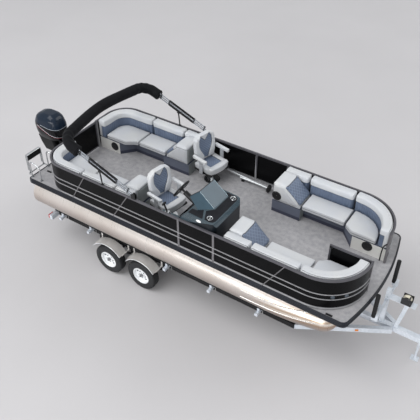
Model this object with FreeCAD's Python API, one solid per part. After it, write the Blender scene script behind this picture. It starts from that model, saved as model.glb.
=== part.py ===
"""A 24 ft three-tube pontoon boat standing on its tandem-axle bunk trailer.

Millimetres, Z up, X towards the bow, Y to port.  While the pieces are being
made x = 0 is the aft edge of the deck and z = 0 is the ground.  At the end all
of them are moved along X, so that the origin is at the middle of the footprint.
"""
import FreeCAD, Part
import math
import os

os.makedirs("parts", exist_ok=True)
V = FreeCAD.Vector

# ------------------------------------------------------------ driving sizes
SEAT_GAP = 0.3            # gap between faces of separate pieces that rest together
RUN_GAP = 6.0             # gap beside a piece that moves
PIN_GAP = 0.08            # radial clearance of a pin or shaft in its bore
FAR = 2000.0              # a reach well past the boat's side, for cutting shapes
HIGH = 4000.0             # a height well over the boat, for cutting shapes
PASS = 50.0               # how far a cutting shape goes past what it cuts
OVERLAP = 1.0             # how far fused lengths run into each other

# hull
DECK_LENGTH = 7345.0      # aft edge to the middle of the bow edge
DECK_BEAM = 2590.0
DECK_THICK = 20.0
DECK_BULGE = 145.0        # the bow edge bows out this far ahead of its corners
DECK_BOW_RADIUS = 120.0
DECK_AFT_RADIUS = 40.0
TRIM_THICK = 8.0
TRIM_DEPTH = 112.0
BEAM_HEIGHT = 90.0
BEAM_WIDTH = 45.0
BEAM_WALL = 4.0
BEAM_FIRST = 180.0
BEAM_PITCH = 610.0
BEAM_BOW_GAP = 300.0      # least distance of a beam from the bow edge
BEAM_COUNT = int((DECK_LENGTH - BEAM_FIRST - BEAM_BOW_GAP) / BEAM_PITCH) + 1
TUBE_RADIUS = 318.0
TUBE_EDGE = 9.0           # the deck's edge is this far outside the outer tubes
TUBE_Y = 0.5 * DECK_BEAM - TUBE_RADIUS - TUBE_EDGE
TUBE_AFT = 20.0
CENTRE_TUBE_AFT = 330.0
NOSE_START = DECK_LENGTH - 1655.0       # where the straight tube ends
NOSE_SHOULDER = 1020.0    # from there to the blunt end of the nose
NOSE_TIP = 1265.0
NOSE_SHOULDER_RADIUS = 232.0
NOSE_TIP_RADIUS = 24.0
TIP_ARC_ALONG = 0.72      # the middle point of the tip's arc, as a share of its length
TIP_ARC_OUT = 0.62        # and of its radius
RISER_WIDTH = 70.0
RISER_SETBACK = 80.0      # from the tube's aft end
RISER_END = DECK_LENGTH - 865.0
KEEL_WIDTH = 12.0
KEEL_DEPTH = 18.0
KEEL_SETBACK = 60.0
KEEL_END = NOSE_START + 150.0

# fence
FENCE_AFT = 450.0
FENCE_BOW = DECK_LENGTH - 155.0
FENCE_HALF = 0.5 * DECK_BEAM - 14.0
FENCE_HEIGHT = 690.0
FENCE_AFT_RADIUS = 500.0
FENCE_BOW_RADIUS = 811.0
RAIL_WIDTH = 36.0
RAIL_HEIGHT = 40.0
FOOT_RAIL_HEIGHT = 34.0
FENCE_FOOT = 20.0
PANEL_INSET = 8.0
PANEL_THICK = 3.0
BAND_OUT = 4.0            # posts and bands stand this far outside the panel rails
POST_WIDTH = 42.0
INNER_POST_HALF = 16.0
DIVIDER_HALF = 9.0
BOW_GATE_HALF = 400.0
STERN_GATE_STARBOARD = -370.0
STERN_GATE_PORT = 390.0
GATE_THICK = 28.0
GATE_LOW = 36.0
GATE_HIGH = FENCE_HEIGHT - 12.0
LUG_THICK = 6.0
LUG_HALF = 14.0
LUG_GAP = 0.5             # between a gate's stile and its lugs

# seats
BASE_HEIGHT = 280.0
SEAT_HEIGHT = 400.0
BACK_HEIGHT = FENCE_HEIGHT + 25.0
BACK_GAP = 6.0
BACK_THICK = 196.0
CUSHION_GAP = 8.0
LOUNGE_INNER = 575.0      # inner face of the side seats from the centreline
AFT_BENCH_END = 430.0
AFT_BENCH_FRONT = 1210.0
AFT_WEDGE_FACE = 2765.0
BOW_CHAISE_FACE = FENCE_BOW - 2425.0
BOW_BENCH_END = 425.0

# helm and chairs
CONSOLE_AFT = 3770.0
CONSOLE_FORE = 4610.0
CONSOLE_INNER = -300.0
CONSOLE_HEIGHT = 850.0
CONSOLE_RADIUS = 110.0
HELM_WHEEL_CENTRE = (3600.0, -780.0, 930.0)     # z above the deck
HELM_WHEEL_RADIUS = 182.0
HELM_WHEEL_RIM = 15.0
HELM_WHEEL_TILT = 32.0    # the column leans up from level by this many degrees
HELM_CHAIR = (3195.0, -660.0)
HELM_CHAIR_TURN = -10.0   # both chairs rest turned a little to starboard
COMPANION_CHAIR = (3230.0, 800.0)
COMPANION_CHAIR_TURN = -12.0
CHAIR_SEAT_TOP = 450.0
CHAIR_BACK_TOP = 1040.0
CHAIR_WIDTH = 580.0

# bimini top, folded aft
BIMINI_PIVOT_X = 2860.0
BIMINI_PIVOT_Z = FENCE_HEIGHT + 72.0    # above the deck
BIMINI_HALF = FENCE_HALF - 21.0
BIMINI_ANGLE = 21.0
BIMINI_REACH = 1760.0
BIMINI_CORNER = 300.0
BIMINI_CROWN = 180.0      # the folded top bows this much further out at its middle
BIMINI_CROWN_BEND = 3000.0
BIMINI_PIN_RADIUS = 8.0
BOOT_RADIUS = 115.0
BOOT_START = 1370.0
STRUT_X = 2100.0
STRUT_RADIUS = 14.0

# outboard motor
TRANSOM_FACE = -60.0
TILT_X = -130.0
STEER_X = -215.0
TILT_TUBE_RADIUS = 19.0
STEER_POST_RADIUS = 40.0
PROP_SHAFT_RADIUS = 14.0
COWL_AFT = -900.0
COWL_FORE = -165.0
COWL_HALF = 245.0
PROP_RADIUS = 184.0

# boarding ladder
LADDER_Y = 310.0 - 0.5 * DECK_BEAM
LADDER_HALF = 190.0
LADDER_PIVOT_X = -75.0
LADDER_STUB_RADIUS = 8.0
LADDER_HEIGHT = 430.0
LADDER_TUBE_RADIUS = 13.0
LADDER_PIVOT_RISE = 36.0  # height of the pivot above the deck

# trailer
TYRE_RADIUS = 345.0
TYRE_WIDTH = 205.0
RIM_RADIUS = 196.0
REAR_AXLE_X = 1960.0
AXLE_SPACING = 2 * TYRE_RADIUS + 178.0
AXLE_RADIUS = 30.0
SPINDLE_RADIUS = 17.0
FRAME_WIDTH = 76.0
FRAME_LOW = TYRE_RADIUS + 305.0
FRAME_HIGH = FRAME_LOW + 110.0
BEAM_TOP = FRAME_HIGH + 60.0
RAIL_Y = TUBE_Y - 23.0
BEAM_HALF_SPAN = TUBE_Y + 227.0
WHEEL_Y = RAIL_Y + 0.5 * FRAME_WIDTH + 80.5 + 0.5 * TYRE_WIDTH
FRAME_AFT = 270.0
FRAME_CROSS = DECK_LENGTH - 1395.0      # the member that the tongue starts from
FRAME_BEND = DECK_LENGTH - 1165.0
FRAME_JOIN = DECK_LENGTH + 355.0
TONGUE_HALF = 50.0
TONGUE_END = FRAME_JOIN + 820.0
BUNK_START = 450.0
BUNK_END = NOSE_START + 70.0
BUNK_WIDTH = 120.0
BUNK_THICK = 38.0
BUNK_ANGLE = 22.0
BUNK_RISE = 122.0         # lowest point of the tubes above the trailer's beams
SPRING_EYE = TYRE_RADIUS + 145.0        # height of the spring's ends
SPRING_HALF = 0.5 * AXLE_SPACING - 25.0
FENDER_GAP = 90.0
FENDER_CUT = 262.0        # the fender ends this far above the axle
FENDER_THICK = 5.0
FENDER_WIDTH = TYRE_WIDTH + 17.0
BALL_RADIUS = 25.4
BALL_SLACK = 0.5
COUPLER_X = TONGUE_END + 190.0
BOW_POST_X = DECK_LENGTH + 65.0
BOW_POST_Y = 490.0
BOW_POST_RADIUS = 38.0
STAND_X = BOW_POST_X + 55.0
JACK_X = TONGUE_END - 320.0
JACK_Y = 140.0
JACK_SWIVEL = 40.0        # the swivel's face is this far inboard of the jack

# heights of the hull, from the trailer's beams up
TUBE_CENTRE_Z = BEAM_TOP + BUNK_RISE + TUBE_RADIUS
DECK_TOP = TUBE_CENTRE_Z + TUBE_RADIUS + 142.0
BOW_POST_LOW = DECK_TOP - 420.0
BOW_POST_HIGH = DECK_TOP + 110.0
STAND_HIGH = DECK_TOP - 130.0
WINCH_SHELF = DECK_TOP - 290.0
TILT_Z = DECK_TOP + 80.0
COWL_BASE = TILT_Z + 100.0
COWL_TOP = COWL_BASE + 610.0
PLATE_Z = TILT_Z - 830.0  # anti-ventilation plate
PROP_SHAFT_Z = PLATE_Z - 200.0

# ------------------------------------------------------------ shape helpers
parts = {}


def block(x0, x1, y0, y1, z0, z1):
    return Part.makeBox(x1 - x0, y1 - y0, z1 - z0, V(x0, y0, z0))


def rod(start, end, radius):
    along = V(*end) - V(*start)
    return Part.makeCylinder(radius, along.Length, V(*start), along)


def prism(points, direction):
    corners = [V(*point) for point in points]
    face = Part.Face(Part.makePolygon(corners + corners[:1]))
    return face.extrude(V(*direction))


def side_prism(profile, y0, y1):
    """A profile of (x, z) points in the XZ plane, drawn out from y0 to y1."""
    return prism([(x, y0, z) for x, z in profile], (0, y1 - y0, 0))


def plan_prism(points, z0, z1):
    return prism([(x, y, z0) for x, y in points], (0, 0, z1 - z0))


def fuse(shapes):
    whole = shapes[0].fuse(shapes[1:])
    return whole.removeSplitter()


def mirrored(shape):
    return shape.mirror(V(0, 0, 0), V(0, 1, 0))


def both_sides(shape):
    return [shape, mirrored(shape)]


def solids(shapes):
    found = []
    for shape in shapes:
        found.extend(shape.Solids)
    return found


def keep(node, shapes):
    parts[node] = Part.makeCompound(solids(shapes))


def arc_edge(centre, radius, start, end):
    angles = [math.radians(angle) for angle in (start, 0.5 * (start + end), end)]
    points = [V(centre[0] + radius * math.cos(a), centre[1] + radius * math.sin(a), 0) for a in angles]
    return Part.Arc(*points).toShape()


def line_edge(start, end):
    return Part.LineSegment(V(*start, 0), V(*end, 0)).toShape()


def plan_face(aft, fore, half, aft_radius, fore_radius, bulge, inset):
    """A rounded deck outline with each edge moved in by inset."""
    x0 = aft + inset
    x1 = fore - bulge - inset
    h = half - inset
    ra = aft_radius - inset if aft_radius > inset else 1.0
    rf = fore_radius - inset if fore_radius > inset else 1.0
    edges = [line_edge((x0 + ra, -h), (x1 - rf, -h))]
    edges.append(arc_edge((x1 - rf, -h + rf), rf, -90, 0))
    if bulge:
        edges.append(Part.Arc(V(x1, -h + rf, 0), V(x1 + bulge, 0, 0), V(x1, h - rf, 0)).toShape())
    else:
        edges.append(line_edge((x1, -h + rf), (x1, h - rf)))
    edges.append(arc_edge((x1 - rf, h - rf), rf, 0, 90))
    edges.append(line_edge((x1 - rf, h), (x0 + ra, h)))
    edges.append(arc_edge((x0 + ra, h - ra), ra, 90, 180))
    edges.append(line_edge((x0, h - ra), (x0, -h + ra)))
    edges.append(arc_edge((x0 + ra, -h + ra), ra, 180, 270))
    return Part.Face(Part.Wire(edges))


def deck_slab(inset, z0, z1):
    face = plan_face(0, DECK_LENGTH, 0.5 * DECK_BEAM, DECK_AFT_RADIUS, DECK_BOW_RADIUS, DECK_BULGE, inset)
    face.translate(V(0, 0, z0))
    return face.extrude(V(0, 0, z1 - z0))


def fence_slab(inset, z0, z1):
    face = plan_face(FENCE_AFT, FENCE_BOW, FENCE_HALF, FENCE_AFT_RADIUS, FENCE_BOW_RADIUS, 0, inset)
    face.translate(V(0, 0, z0))
    return face.extrude(V(0, 0, z1 - z0))


def fence_ring(outer, inner, z0, z1):
    return fence_slab(outer, z0, z1).cut(fence_slab(inner, z0 - 1, z1 + 1))


def turned(shape, about, axis, degrees):
    copy = shape.copy()
    copy.rotate(V(*about), V(*axis), degrees)
    return copy


def moved(shape, x, y, z):
    copy = shape.copy()
    copy.translate(V(x, y, z))
    return copy


# ------------------------------------------------------------ pontoon tubes
def nose(tube_y):
    """Blunt spun nose: a long shallow arc, then a tight one to the tip."""
    shallow = (NOSE_SHOULDER ** 2 + (TUBE_RADIUS - NOSE_SHOULDER_RADIUS) ** 2)
    shallow /= 2 * (TUBE_RADIUS - NOSE_SHOULDER_RADIUS)
    half = 0.5 * NOSE_SHOULDER
    half_radius = TUBE_RADIUS - shallow + math.sqrt(shallow ** 2 - half ** 2)
    end_x = NOSE_SHOULDER + TIP_ARC_ALONG * (NOSE_TIP - NOSE_SHOULDER)
    outline = [
        Part.LineSegment(V(0, 0, 0), V(0, TUBE_RADIUS, 0)).toShape(),
        Part.Arc(V(0, TUBE_RADIUS, 0), V(half, half_radius, 0),
                 V(NOSE_SHOULDER, NOSE_SHOULDER_RADIUS, 0)).toShape(),
        Part.Arc(V(NOSE_SHOULDER, NOSE_SHOULDER_RADIUS, 0),
                 V(end_x, TIP_ARC_OUT * NOSE_SHOULDER_RADIUS, 0),
                 V(NOSE_TIP, NOSE_TIP_RADIUS, 0)).toShape(),
        Part.LineSegment(V(NOSE_TIP, NOSE_TIP_RADIUS, 0), V(NOSE_TIP, 0, 0)).toShape(),
        Part.LineSegment(V(NOSE_TIP, 0, 0), V(0, 0, 0)).toShape(),
    ]
    face = Part.Face(Part.Wire(outline))
    solid = face.revolve(V(0, 0, 0), V(1, 0, 0), 360)
    solid.translate(V(NOSE_START, tube_y, TUBE_CENTRE_Z))
    return solid


BEAM_HIGH = DECK_TOP - DECK_THICK - SEAT_GAP
BEAM_LOW = BEAM_HIGH - BEAM_HEIGHT


def pontoon(tube_y, aft):
    barrel = rod((aft, tube_y, TUBE_CENTRE_Z), (NOSE_START, tube_y, TUBE_CENTRE_Z), TUBE_RADIUS)
    half = 0.5 * RISER_WIDTH
    riser = block(aft + RISER_SETBACK, RISER_END, tube_y - half, tube_y + half, TUBE_CENTRE_Z,
                  BEAM_LOW - SEAT_GAP)
    foot = TUBE_CENTRE_Z - TUBE_RADIUS - KEEL_DEPTH
    keel = block(aft + KEEL_SETBACK, KEEL_END, tube_y - 0.5 * KEEL_WIDTH, tube_y + 0.5 * KEEL_WIDTH,
                 foot, TUBE_CENTRE_Z)
    return fuse([barrel, nose(tube_y), riser, keel])


starboard_pontoon = pontoon(-TUBE_Y, TUBE_AFT)
keep("outer_pontoons", both_sides(starboard_pontoon))
keep("centre_pontoon", [pontoon(0, CENTRE_TUBE_AFT)])

# ------------------------------------------------------------ deck and its beams
keep("deck", [deck_slab(TRIM_THICK + SEAT_GAP, DECK_TOP - DECK_THICK, DECK_TOP)])
trim_outer = deck_slab(0, DECK_TOP - TRIM_DEPTH, DECK_TOP)
trim_inner = deck_slab(TRIM_THICK, DECK_TOP - TRIM_DEPTH - OVERLAP, DECK_TOP + OVERLAP)
keep("deck_trim", [trim_outer.cut(trim_inner)])

BEAM_HALF_LENGTH = 0.5 * DECK_BEAM - TRIM_THICK - 2 * SEAT_GAP
beams = []
for index in range(BEAM_COUNT):
    x = BEAM_FIRST + BEAM_PITCH * index
    half_length = BEAM_HALF_LENGTH
    if x + BEAM_WIDTH > DECK_LENGTH - DECK_BULGE - DECK_BOW_RADIUS:
        half_length = BEAM_HALF_LENGTH - DECK_BOW_RADIUS
    outer = block(x, x + BEAM_WIDTH, -half_length, half_length, BEAM_LOW, BEAM_HIGH)
    hollow = block(x + BEAM_WALL, x + BEAM_WIDTH + OVERLAP, -half_length - OVERLAP, half_length + OVERLAP,
                   BEAM_LOW + BEAM_WALL, BEAM_HIGH - BEAM_WALL)
    beams.append(outer.cut(hollow))
keep("deck_beams", beams)

# motor pod: a welded box between the centre tube and the transom plate
POD_HALF = 210.0
POD_LOW = TUBE_CENTRE_Z - 180.0
POD_TOP = DECK_TOP - TRIM_DEPTH - SEAT_GAP
POD_RISE = 100.0          # the pod's floor rises this much towards the transom
TRANSOM_THICK = 45.0
TRANSOM_TOP = DECK_TOP - TRIM_DEPTH + 70.0
pod_profile = [
    (TRANSOM_FACE, POD_LOW + POD_RISE),
    (TRANSOM_FACE, TRANSOM_TOP),
    (TRANSOM_FACE + TRANSOM_THICK, TRANSOM_TOP),
    (TRANSOM_FACE + TRANSOM_THICK, POD_TOP),
    (CENTRE_TUBE_AFT - SEAT_GAP, POD_TOP),
    (CENTRE_TUBE_AFT - SEAT_GAP, POD_LOW),
]
keep("motor_pod", [side_prism(pod_profile, -POD_HALF, POD_HALF)])

# ------------------------------------------------------------ fence
RAIL_TOP = DECK_TOP + FENCE_HEIGHT
FOOT_Z = DECK_TOP + SEAT_GAP
bow_opening = block(FENCE_BOW - FENCE_BOW_RADIUS, FENCE_BOW + PASS, -BOW_GATE_HALF, BOW_GATE_HALF,
                    DECK_TOP, HIGH)
stern_opening = block(FENCE_AFT - PASS, FENCE_AFT + FENCE_AFT_RADIUS, STERN_GATE_STARBOARD,
                      STERN_GATE_PORT, DECK_TOP, HIGH)
starboard_half = block(-FAR, 2 * DECK_LENGTH, -DECK_BEAM, 0, 0, HIGH)
port_half = block(-FAR, 2 * DECK_LENGTH, 0, DECK_BEAM, 0, HIGH)

BOTTOM_RAIL_LOW = DECK_TOP + FENCE_FOOT
BOTTOM_RAIL_HIGH = BOTTOM_RAIL_LOW + FOOT_RAIL_HEIGHT
PANEL_LOW = BOTTOM_RAIL_HIGH + SEAT_GAP
PANEL_HIGH = RAIL_TOP - RAIL_HEIGHT - SEAT_GAP
BAND_HEIGHTS = (243.0, 353.0)       # the two light bands, above the deck
BAND_DEPTH = 14.0

# each post: x, side (-1 starboard, +1 port)
POSTS = (
    (3865.0, -1), (BOW_CHAISE_FACE - 150.0, -1),
    (4020.0, 1), (BOW_CHAISE_FACE - 25.0, 1),
)
INNER_POSTS = (1250.0, 2050.0, 2850.0, FENCE_BOW - 1740.0, FENCE_BOW - 940.0)
# each slanted divider: x at the bottom rail, x at the top rail
DIVIDERS = ((1236.0, 1646.0), (2295.0, 2718.0), (FENCE_BOW - 1560.0, FENCE_BOW - 1169.0))

# the frame is bolted together from a stern, a side and a bow section
FENCE_JOINTS = (FENCE_AFT + FENCE_AFT_RADIUS, FENCE_BOW - FENCE_BOW_RADIUS)


def fence_frame(side):
    """Top and bottom rails, posts, outer bands and hinge lugs of one side."""
    half_space = starboard_half if side < 0 else port_half
    pieces = [
        fence_ring(0, RAIL_WIDTH, RAIL_TOP - RAIL_HEIGHT, RAIL_TOP),
        fence_ring(0, RAIL_WIDTH, BOTTOM_RAIL_LOW, BOTTOM_RAIL_HIGH),
    ]
    for height in BAND_HEIGHTS:
        low = DECK_TOP + height
        pieces.append(fence_ring(-BAND_OUT, PANEL_INSET - SEAT_GAP, low, low + BAND_DEPTH))
    pieces = [piece.cut([bow_opening, stern_opening]).common(half_space) for piece in pieces]
    outer_y = FENCE_HALF + BAND_OUT
    inner_y = FENCE_HALF - RAIL_WIDTH
    for x, post_side in POSTS:
        if post_side == side:
            pieces.append(block(x - 0.5 * POST_WIDTH, x + 0.5 * POST_WIDTH,
                                *sorted((side * inner_y, side * outer_y)), FOOT_Z, RAIL_TOP - OVERLAP))
    y_pair = sorted((side * inner_y, side * (FENCE_HALF - PANEL_INSET - PANEL_THICK - OVERLAP)))
    for x in INNER_POSTS:
        pieces.append(block(x - INNER_POST_HALF, x + INNER_POST_HALF, *y_pair, FOOT_Z, RAIL_TOP - OVERLAP))
    for low_x, high_x in DIVIDERS:
        low_z = BOTTOM_RAIL_LOW + OVERLAP
        high_z = RAIL_TOP - OVERLAP
        outline = [(low_x - DIVIDER_HALF, low_z), (low_x + DIVIDER_HALF, low_z),
                   (high_x + DIVIDER_HALF, high_z), (high_x - DIVIDER_HALF, high_z)]
        y_pair = sorted((side * (FENCE_HALF - PANEL_INSET + SEAT_GAP), side * (outer_y - OVERLAP)))
        pieces.append(side_prism(outline, *y_pair))
    bow_y = sorted((side * BOW_GATE_HALF, side * (BOW_GATE_HALF + POST_WIDTH)))
    pieces.append(block(FENCE_BOW - RAIL_WIDTH, FENCE_BOW + BAND_OUT, *bow_y, FOOT_Z, RAIL_TOP - OVERLAP))
    stern_edge = STERN_GATE_STARBOARD if side < 0 else STERN_GATE_PORT
    stern_y = sorted((stern_edge, stern_edge + side * POST_WIDTH))
    pieces.append(block(FENCE_AFT - BAND_OUT, FENCE_AFT + RAIL_WIDTH, *stern_y, FOOT_Z, RAIL_TOP - OVERLAP))
    pieces.extend(hinge_lugs(side))
    joints = [block(x, x + SEAT_GAP, -FAR, FAR, 0, HIGH) for x in FENCE_JOINTS]
    return fuse(pieces).cut(joints)


BOW_HINGE = (FENCE_BOW - 0.5 * RAIL_WIDTH, -BOW_GATE_HALF + 0.5 * GATE_THICK + RUN_GAP)
STERN_HINGE = (FENCE_AFT + 0.5 * RAIL_WIDTH, STERN_GATE_PORT - 0.5 * GATE_THICK - RUN_GAP)


def hinge_lugs(side):
    """Two plates that reach from the gate post over the ends of the gate's stile."""
    if side < 0:
        x, y = BOW_HINGE
        post = -BOW_GATE_HALF
        reach = 0.5 * GATE_THICK
    else:
        x, y = STERN_HINGE
        post = STERN_GATE_PORT
        reach = -0.5 * GATE_THICK
    lugs = []
    y_pair = sorted((post - 0.5 * reach, y + reach))
    for z in (DECK_TOP + GATE_LOW - LUG_GAP - LUG_THICK, DECK_TOP + GATE_HIGH + LUG_GAP):
        lugs.append(block(x - LUG_HALF, x + LUG_HALF, *y_pair, z, z + LUG_THICK))
    return lugs


def fence_panel(side):
    half_space = starboard_half if side < 0 else port_half
    skin = fence_ring(PANEL_INSET, PANEL_INSET + PANEL_THICK, PANEL_LOW, PANEL_HIGH)
    skin = skin.cut([bow_opening, stern_opening]).common(half_space)
    gaps = []
    for x, post_side in POSTS:
        if post_side == side:
            reach = 0.5 * POST_WIDTH + SEAT_GAP
            y_pair = sorted((side * (FENCE_HALF - PASS), side * (FENCE_HALF + PASS)))
            gaps.append(block(x - reach, x + reach, *y_pair, DECK_TOP, RAIL_TOP))
    reach = POST_WIDTH + SEAT_GAP
    bow_y = sorted((0, side * (BOW_GATE_HALF + reach)))
    gaps.append(block(FENCE_BOW - PASS, FENCE_BOW + PASS, *bow_y, DECK_TOP, RAIL_TOP))
    stern_edge = STERN_GATE_STARBOARD if side < 0 else STERN_GATE_PORT
    stern_y = sorted((0, stern_edge + side * reach))
    gaps.append(block(FENCE_AFT - PASS, FENCE_AFT + PASS, *stern_y, DECK_TOP, RAIL_TOP))
    return skin.cut(gaps)


keep("fence_frame_starboard", [fence_frame(-1)])
keep("fence_frame_port", [fence_frame(1)])
keep("fence_panels_starboard", [fence_panel(-1)])
keep("fence_panels_port", [fence_panel(1)])


GATE_RAIL = 34.0
GATE_STILE = 30.0
GATE_PANEL_HALF = 3.0


def gate(width):
    """A gate along +X from its hinge axis at x = y = 0."""
    low = DECK_TOP + GATE_LOW
    high = DECK_TOP + GATE_HIGH
    half = 0.5 * GATE_THICK
    return fuse([
        Part.makeCylinder(half, high - low, V(0, 0, low)),
        block(0, width, -half, half, high - GATE_RAIL, high),
        block(0, width, -half, half, low, low + GATE_STILE),
        block(width - GATE_STILE, width, -half, half, low, high),
        block(0, width - OVERLAP, -GATE_PANEL_HALF, GATE_PANEL_HALF, low + OVERLAP, high - OVERLAP),
    ])


BOW_GATE_WIDTH = 2 * BOW_GATE_HALF - 0.5 * GATE_THICK - 2 * RUN_GAP
STERN_GATE_WIDTH = STERN_GATE_PORT - STERN_GATE_STARBOARD - 0.5 * GATE_THICK - 2 * RUN_GAP
bow_gate = turned(gate(BOW_GATE_WIDTH), (0, 0, 0), (0, 0, 1), 180)
keep("bow_gate", [moved(bow_gate, *BOW_HINGE, 0)])
stern_gate = turned(gate(STERN_GATE_WIDTH), (0, 0, 0), (0, 0, 1), -90)
keep("stern_gate", [moved(stern_gate, *STERN_HINGE, 0)])

# ------------------------------------------------------------ lounges
BACK_OUT = RAIL_WIDTH + BACK_GAP
BACK_IN = BACK_OUT + BACK_THICK
BASE_TOP = DECK_TOP + BASE_HEIGHT
SEAT_LOW = BASE_TOP + SEAT_GAP
SEAT_HIGH = DECK_TOP + SEAT_HEIGHT
BACK_HIGH = DECK_TOP + BACK_HEIGHT

AFT_SEAT_FORE = AFT_WEDGE_FACE - 575.0   # where the seat meets the arm rest
AFT_SEAT_SLANT = 210.0    # the bench's corner runs this far forward to the side seat
BASE_END_STEP = 20.0      # the bases stand back this far from the ends of the seats
TOE_KICK = 150.0          # and this far from their fronts
BASE_FACE_STEP = 45.0     # but less under an arm rest
TOE_SETBACK = 170.0

# plan outlines of the port side, as (x, y) corners
AFT_SEAT_PLAN = [
    (0, AFT_BENCH_END), (AFT_BENCH_FRONT, AFT_BENCH_END),
    (AFT_BENCH_FRONT + AFT_SEAT_SLANT, LOUNGE_INNER),
    (AFT_SEAT_FORE, LOUNGE_INNER), (AFT_SEAT_FORE, FAR), (0, FAR),
]
AFT_BASE_PLAN = [
    (0, AFT_BENCH_END + BASE_END_STEP), (AFT_BENCH_FRONT - TOE_SETBACK, AFT_BENCH_END + BASE_END_STEP),
    (AFT_BENCH_FRONT + AFT_SEAT_SLANT - TOE_KICK, LOUNGE_INNER + TOE_KICK),
    (AFT_SEAT_FORE - 80, LOUNGE_INNER + TOE_KICK), (AFT_SEAT_FORE - 80, LOUNGE_INNER + BASE_FACE_STEP),
    (AFT_WEDGE_FACE, LOUNGE_INNER + BASE_FACE_STEP), (AFT_WEDGE_FACE, FAR), (0, FAR),
]
BOW_CHAISE_FOOT = FENCE_BOW - 1810.0     # where the chaise back ends and the seat starts
BOW_TURN = FENCE_BOW - 920.0             # where the side seat turns into the bow seat
BOW_SEAT_END = FENCE_BOW - 40.0
BOW_SEAT_PLAN = [
    (BOW_CHAISE_FOOT + 10, LOUNGE_INNER), (BOW_TURN, LOUNGE_INNER), (BOW_TURN + 190, BOW_BENCH_END),
    (BOW_SEAT_END, BOW_BENCH_END), (BOW_SEAT_END, FAR), (BOW_CHAISE_FOOT + 10, FAR),
]
BOW_BASE_PLAN = [
    (BOW_CHAISE_FACE, LOUNGE_INNER + 20), (BOW_CHAISE_FOOT - 5, LOUNGE_INNER + 20),
    (BOW_CHAISE_FOOT - 5, LOUNGE_INNER + 185), (BOW_TURN - 50, LOUNGE_INNER + 185),
    (BOW_TURN + 230, BOW_BENCH_END + 25), (BOW_SEAT_END, BOW_BENCH_END + 25), (BOW_SEAT_END, FAR),
    (BOW_CHAISE_FACE, FAR),
]


def lounge_piece(inset, outline, z0, z1):
    return fence_slab(inset, z0, z1).common(plan_prism(outline, z0, z1))


def split(shape, cuts):
    """Cut a piece into cushions by slots across X."""
    slots = [block(x - 0.5 * CUSHION_GAP, x + 0.5 * CUSHION_GAP, -FAR, FAR, 0, HIGH) for x in cuts]
    return shape.cut(slots)


def back_run(x0, x1, y0, cuts):
    ring = fence_ring(BACK_OUT, BACK_IN, SEAT_LOW, BACK_HIGH)
    piece = ring.common(block(x0, x1, y0, FAR, 0, HIGH))
    return split(piece, cuts)


aft_base = lounge_piece(BACK_OUT + 3, AFT_BASE_PLAN, FOOT_Z, BASE_TOP)
keep("aft_lounge_bases", both_sides(aft_base))
aft_seat = split(lounge_piece(BACK_IN + 2, AFT_SEAT_PLAN, SEAT_LOW, SEAT_HIGH), [1470])
keep("aft_lounge_seats", both_sides(aft_seat))
keep("aft_lounge_backs", both_sides(back_run(0, AFT_WEDGE_FACE, AFT_BENCH_END, [1500, 2345])))
bow_base = lounge_piece(BACK_OUT + 3, BOW_BASE_PLAN, FOOT_Z, BASE_TOP)
keep("bow_lounge_bases", both_sides(bow_base))
bow_seat = split(lounge_piece(BACK_IN + 2, BOW_SEAT_PLAN, SEAT_LOW, SEAT_HIGH), [BOW_TURN + 10])
keep("bow_lounge_seats", both_sides(bow_seat))
bow_back = back_run(BOW_CHAISE_FACE, FENCE_BOW, BOW_BENCH_END, [BOW_CHAISE_FOOT - 85, BOW_TURN - 35])
keep("bow_lounge_backs", both_sides(bow_back))

# the arm rests and the chaise backs are wedges: an upright face, a flat top and a slope down to the seat
WEDGE_TOE = SEAT_HIGH + 20.0             # height where the slope ends
WEDGE_OUTER = FENCE_HALF - BACK_IN - 4.0
AFT_WEDGE_FLAT = 275.0
AFT_WEDGE_RUN = 555.0
AFT_WEDGE_TOP = BACK_HIGH - 10.0
BOW_CHAISE_SLOPE = 320.0
aft_wedge = side_prism([
    (AFT_WEDGE_FACE, SEAT_LOW), (AFT_WEDGE_FACE, AFT_WEDGE_TOP),
    (AFT_WEDGE_FACE - AFT_WEDGE_FLAT, AFT_WEDGE_TOP), (AFT_WEDGE_FACE - AFT_WEDGE_RUN, WEDGE_TOE),
    (AFT_SEAT_FORE + CUSHION_GAP, SEAT_LOW),
], LOUNGE_INNER + 5, WEDGE_OUTER)
keep("aft_arm_rests", both_sides(aft_wedge))
bow_chaise = side_prism([
    (BOW_CHAISE_FACE, SEAT_LOW), (BOW_CHAISE_FOOT, SEAT_LOW), (BOW_CHAISE_FOOT - 10, WEDGE_TOE),
    (BOW_CHAISE_FOOT - 10 - BOW_CHAISE_SLOPE, BACK_HIGH), (BOW_CHAISE_FACE, BACK_HIGH),
], LOUNGE_INNER - 15, WEDGE_OUTER)
keep("bow_chaise_backs", both_sides(bow_chaise))

# ------------------------------------------------------------ helm
CONSOLE_FENCE_GAP = 8.0
CONSOLE_TOP_AFT = 4020.0  # where the sloped top meets the dash
CONSOLE_TOP_RISE = 20.0   # the top's aft edge is this much over its mean height
DASH_LOW = 620.0          # the dash ends this far above the deck
SHELF_AFT = 3430.0
SHELF_WIDTH = 120.0
SHELF_HEIGHT = 600.0
console_outer = -(FENCE_HALF - RAIL_WIDTH - CONSOLE_FENCE_GAP)
console_profile = [
    (CONSOLE_AFT + 20, FOOT_Z), (CONSOLE_FORE - 30, FOOT_Z), (CONSOLE_FORE, DECK_TOP + 740),
    (CONSOLE_FORE - 40, DECK_TOP + CONSOLE_HEIGHT - CONSOLE_TOP_RISE),
    (CONSOLE_TOP_AFT, DECK_TOP + CONSOLE_HEIGHT + CONSOLE_TOP_RISE),
    (CONSOLE_AFT + 25, DECK_TOP + DASH_LOW), (CONSOLE_AFT + 60, DECK_TOP + 560),
]
console_plan = plan_face(CONSOLE_AFT, CONSOLE_FORE, 0.5 * (CONSOLE_INNER - console_outer),
                         30, CONSOLE_RADIUS, 0, 0)
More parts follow.
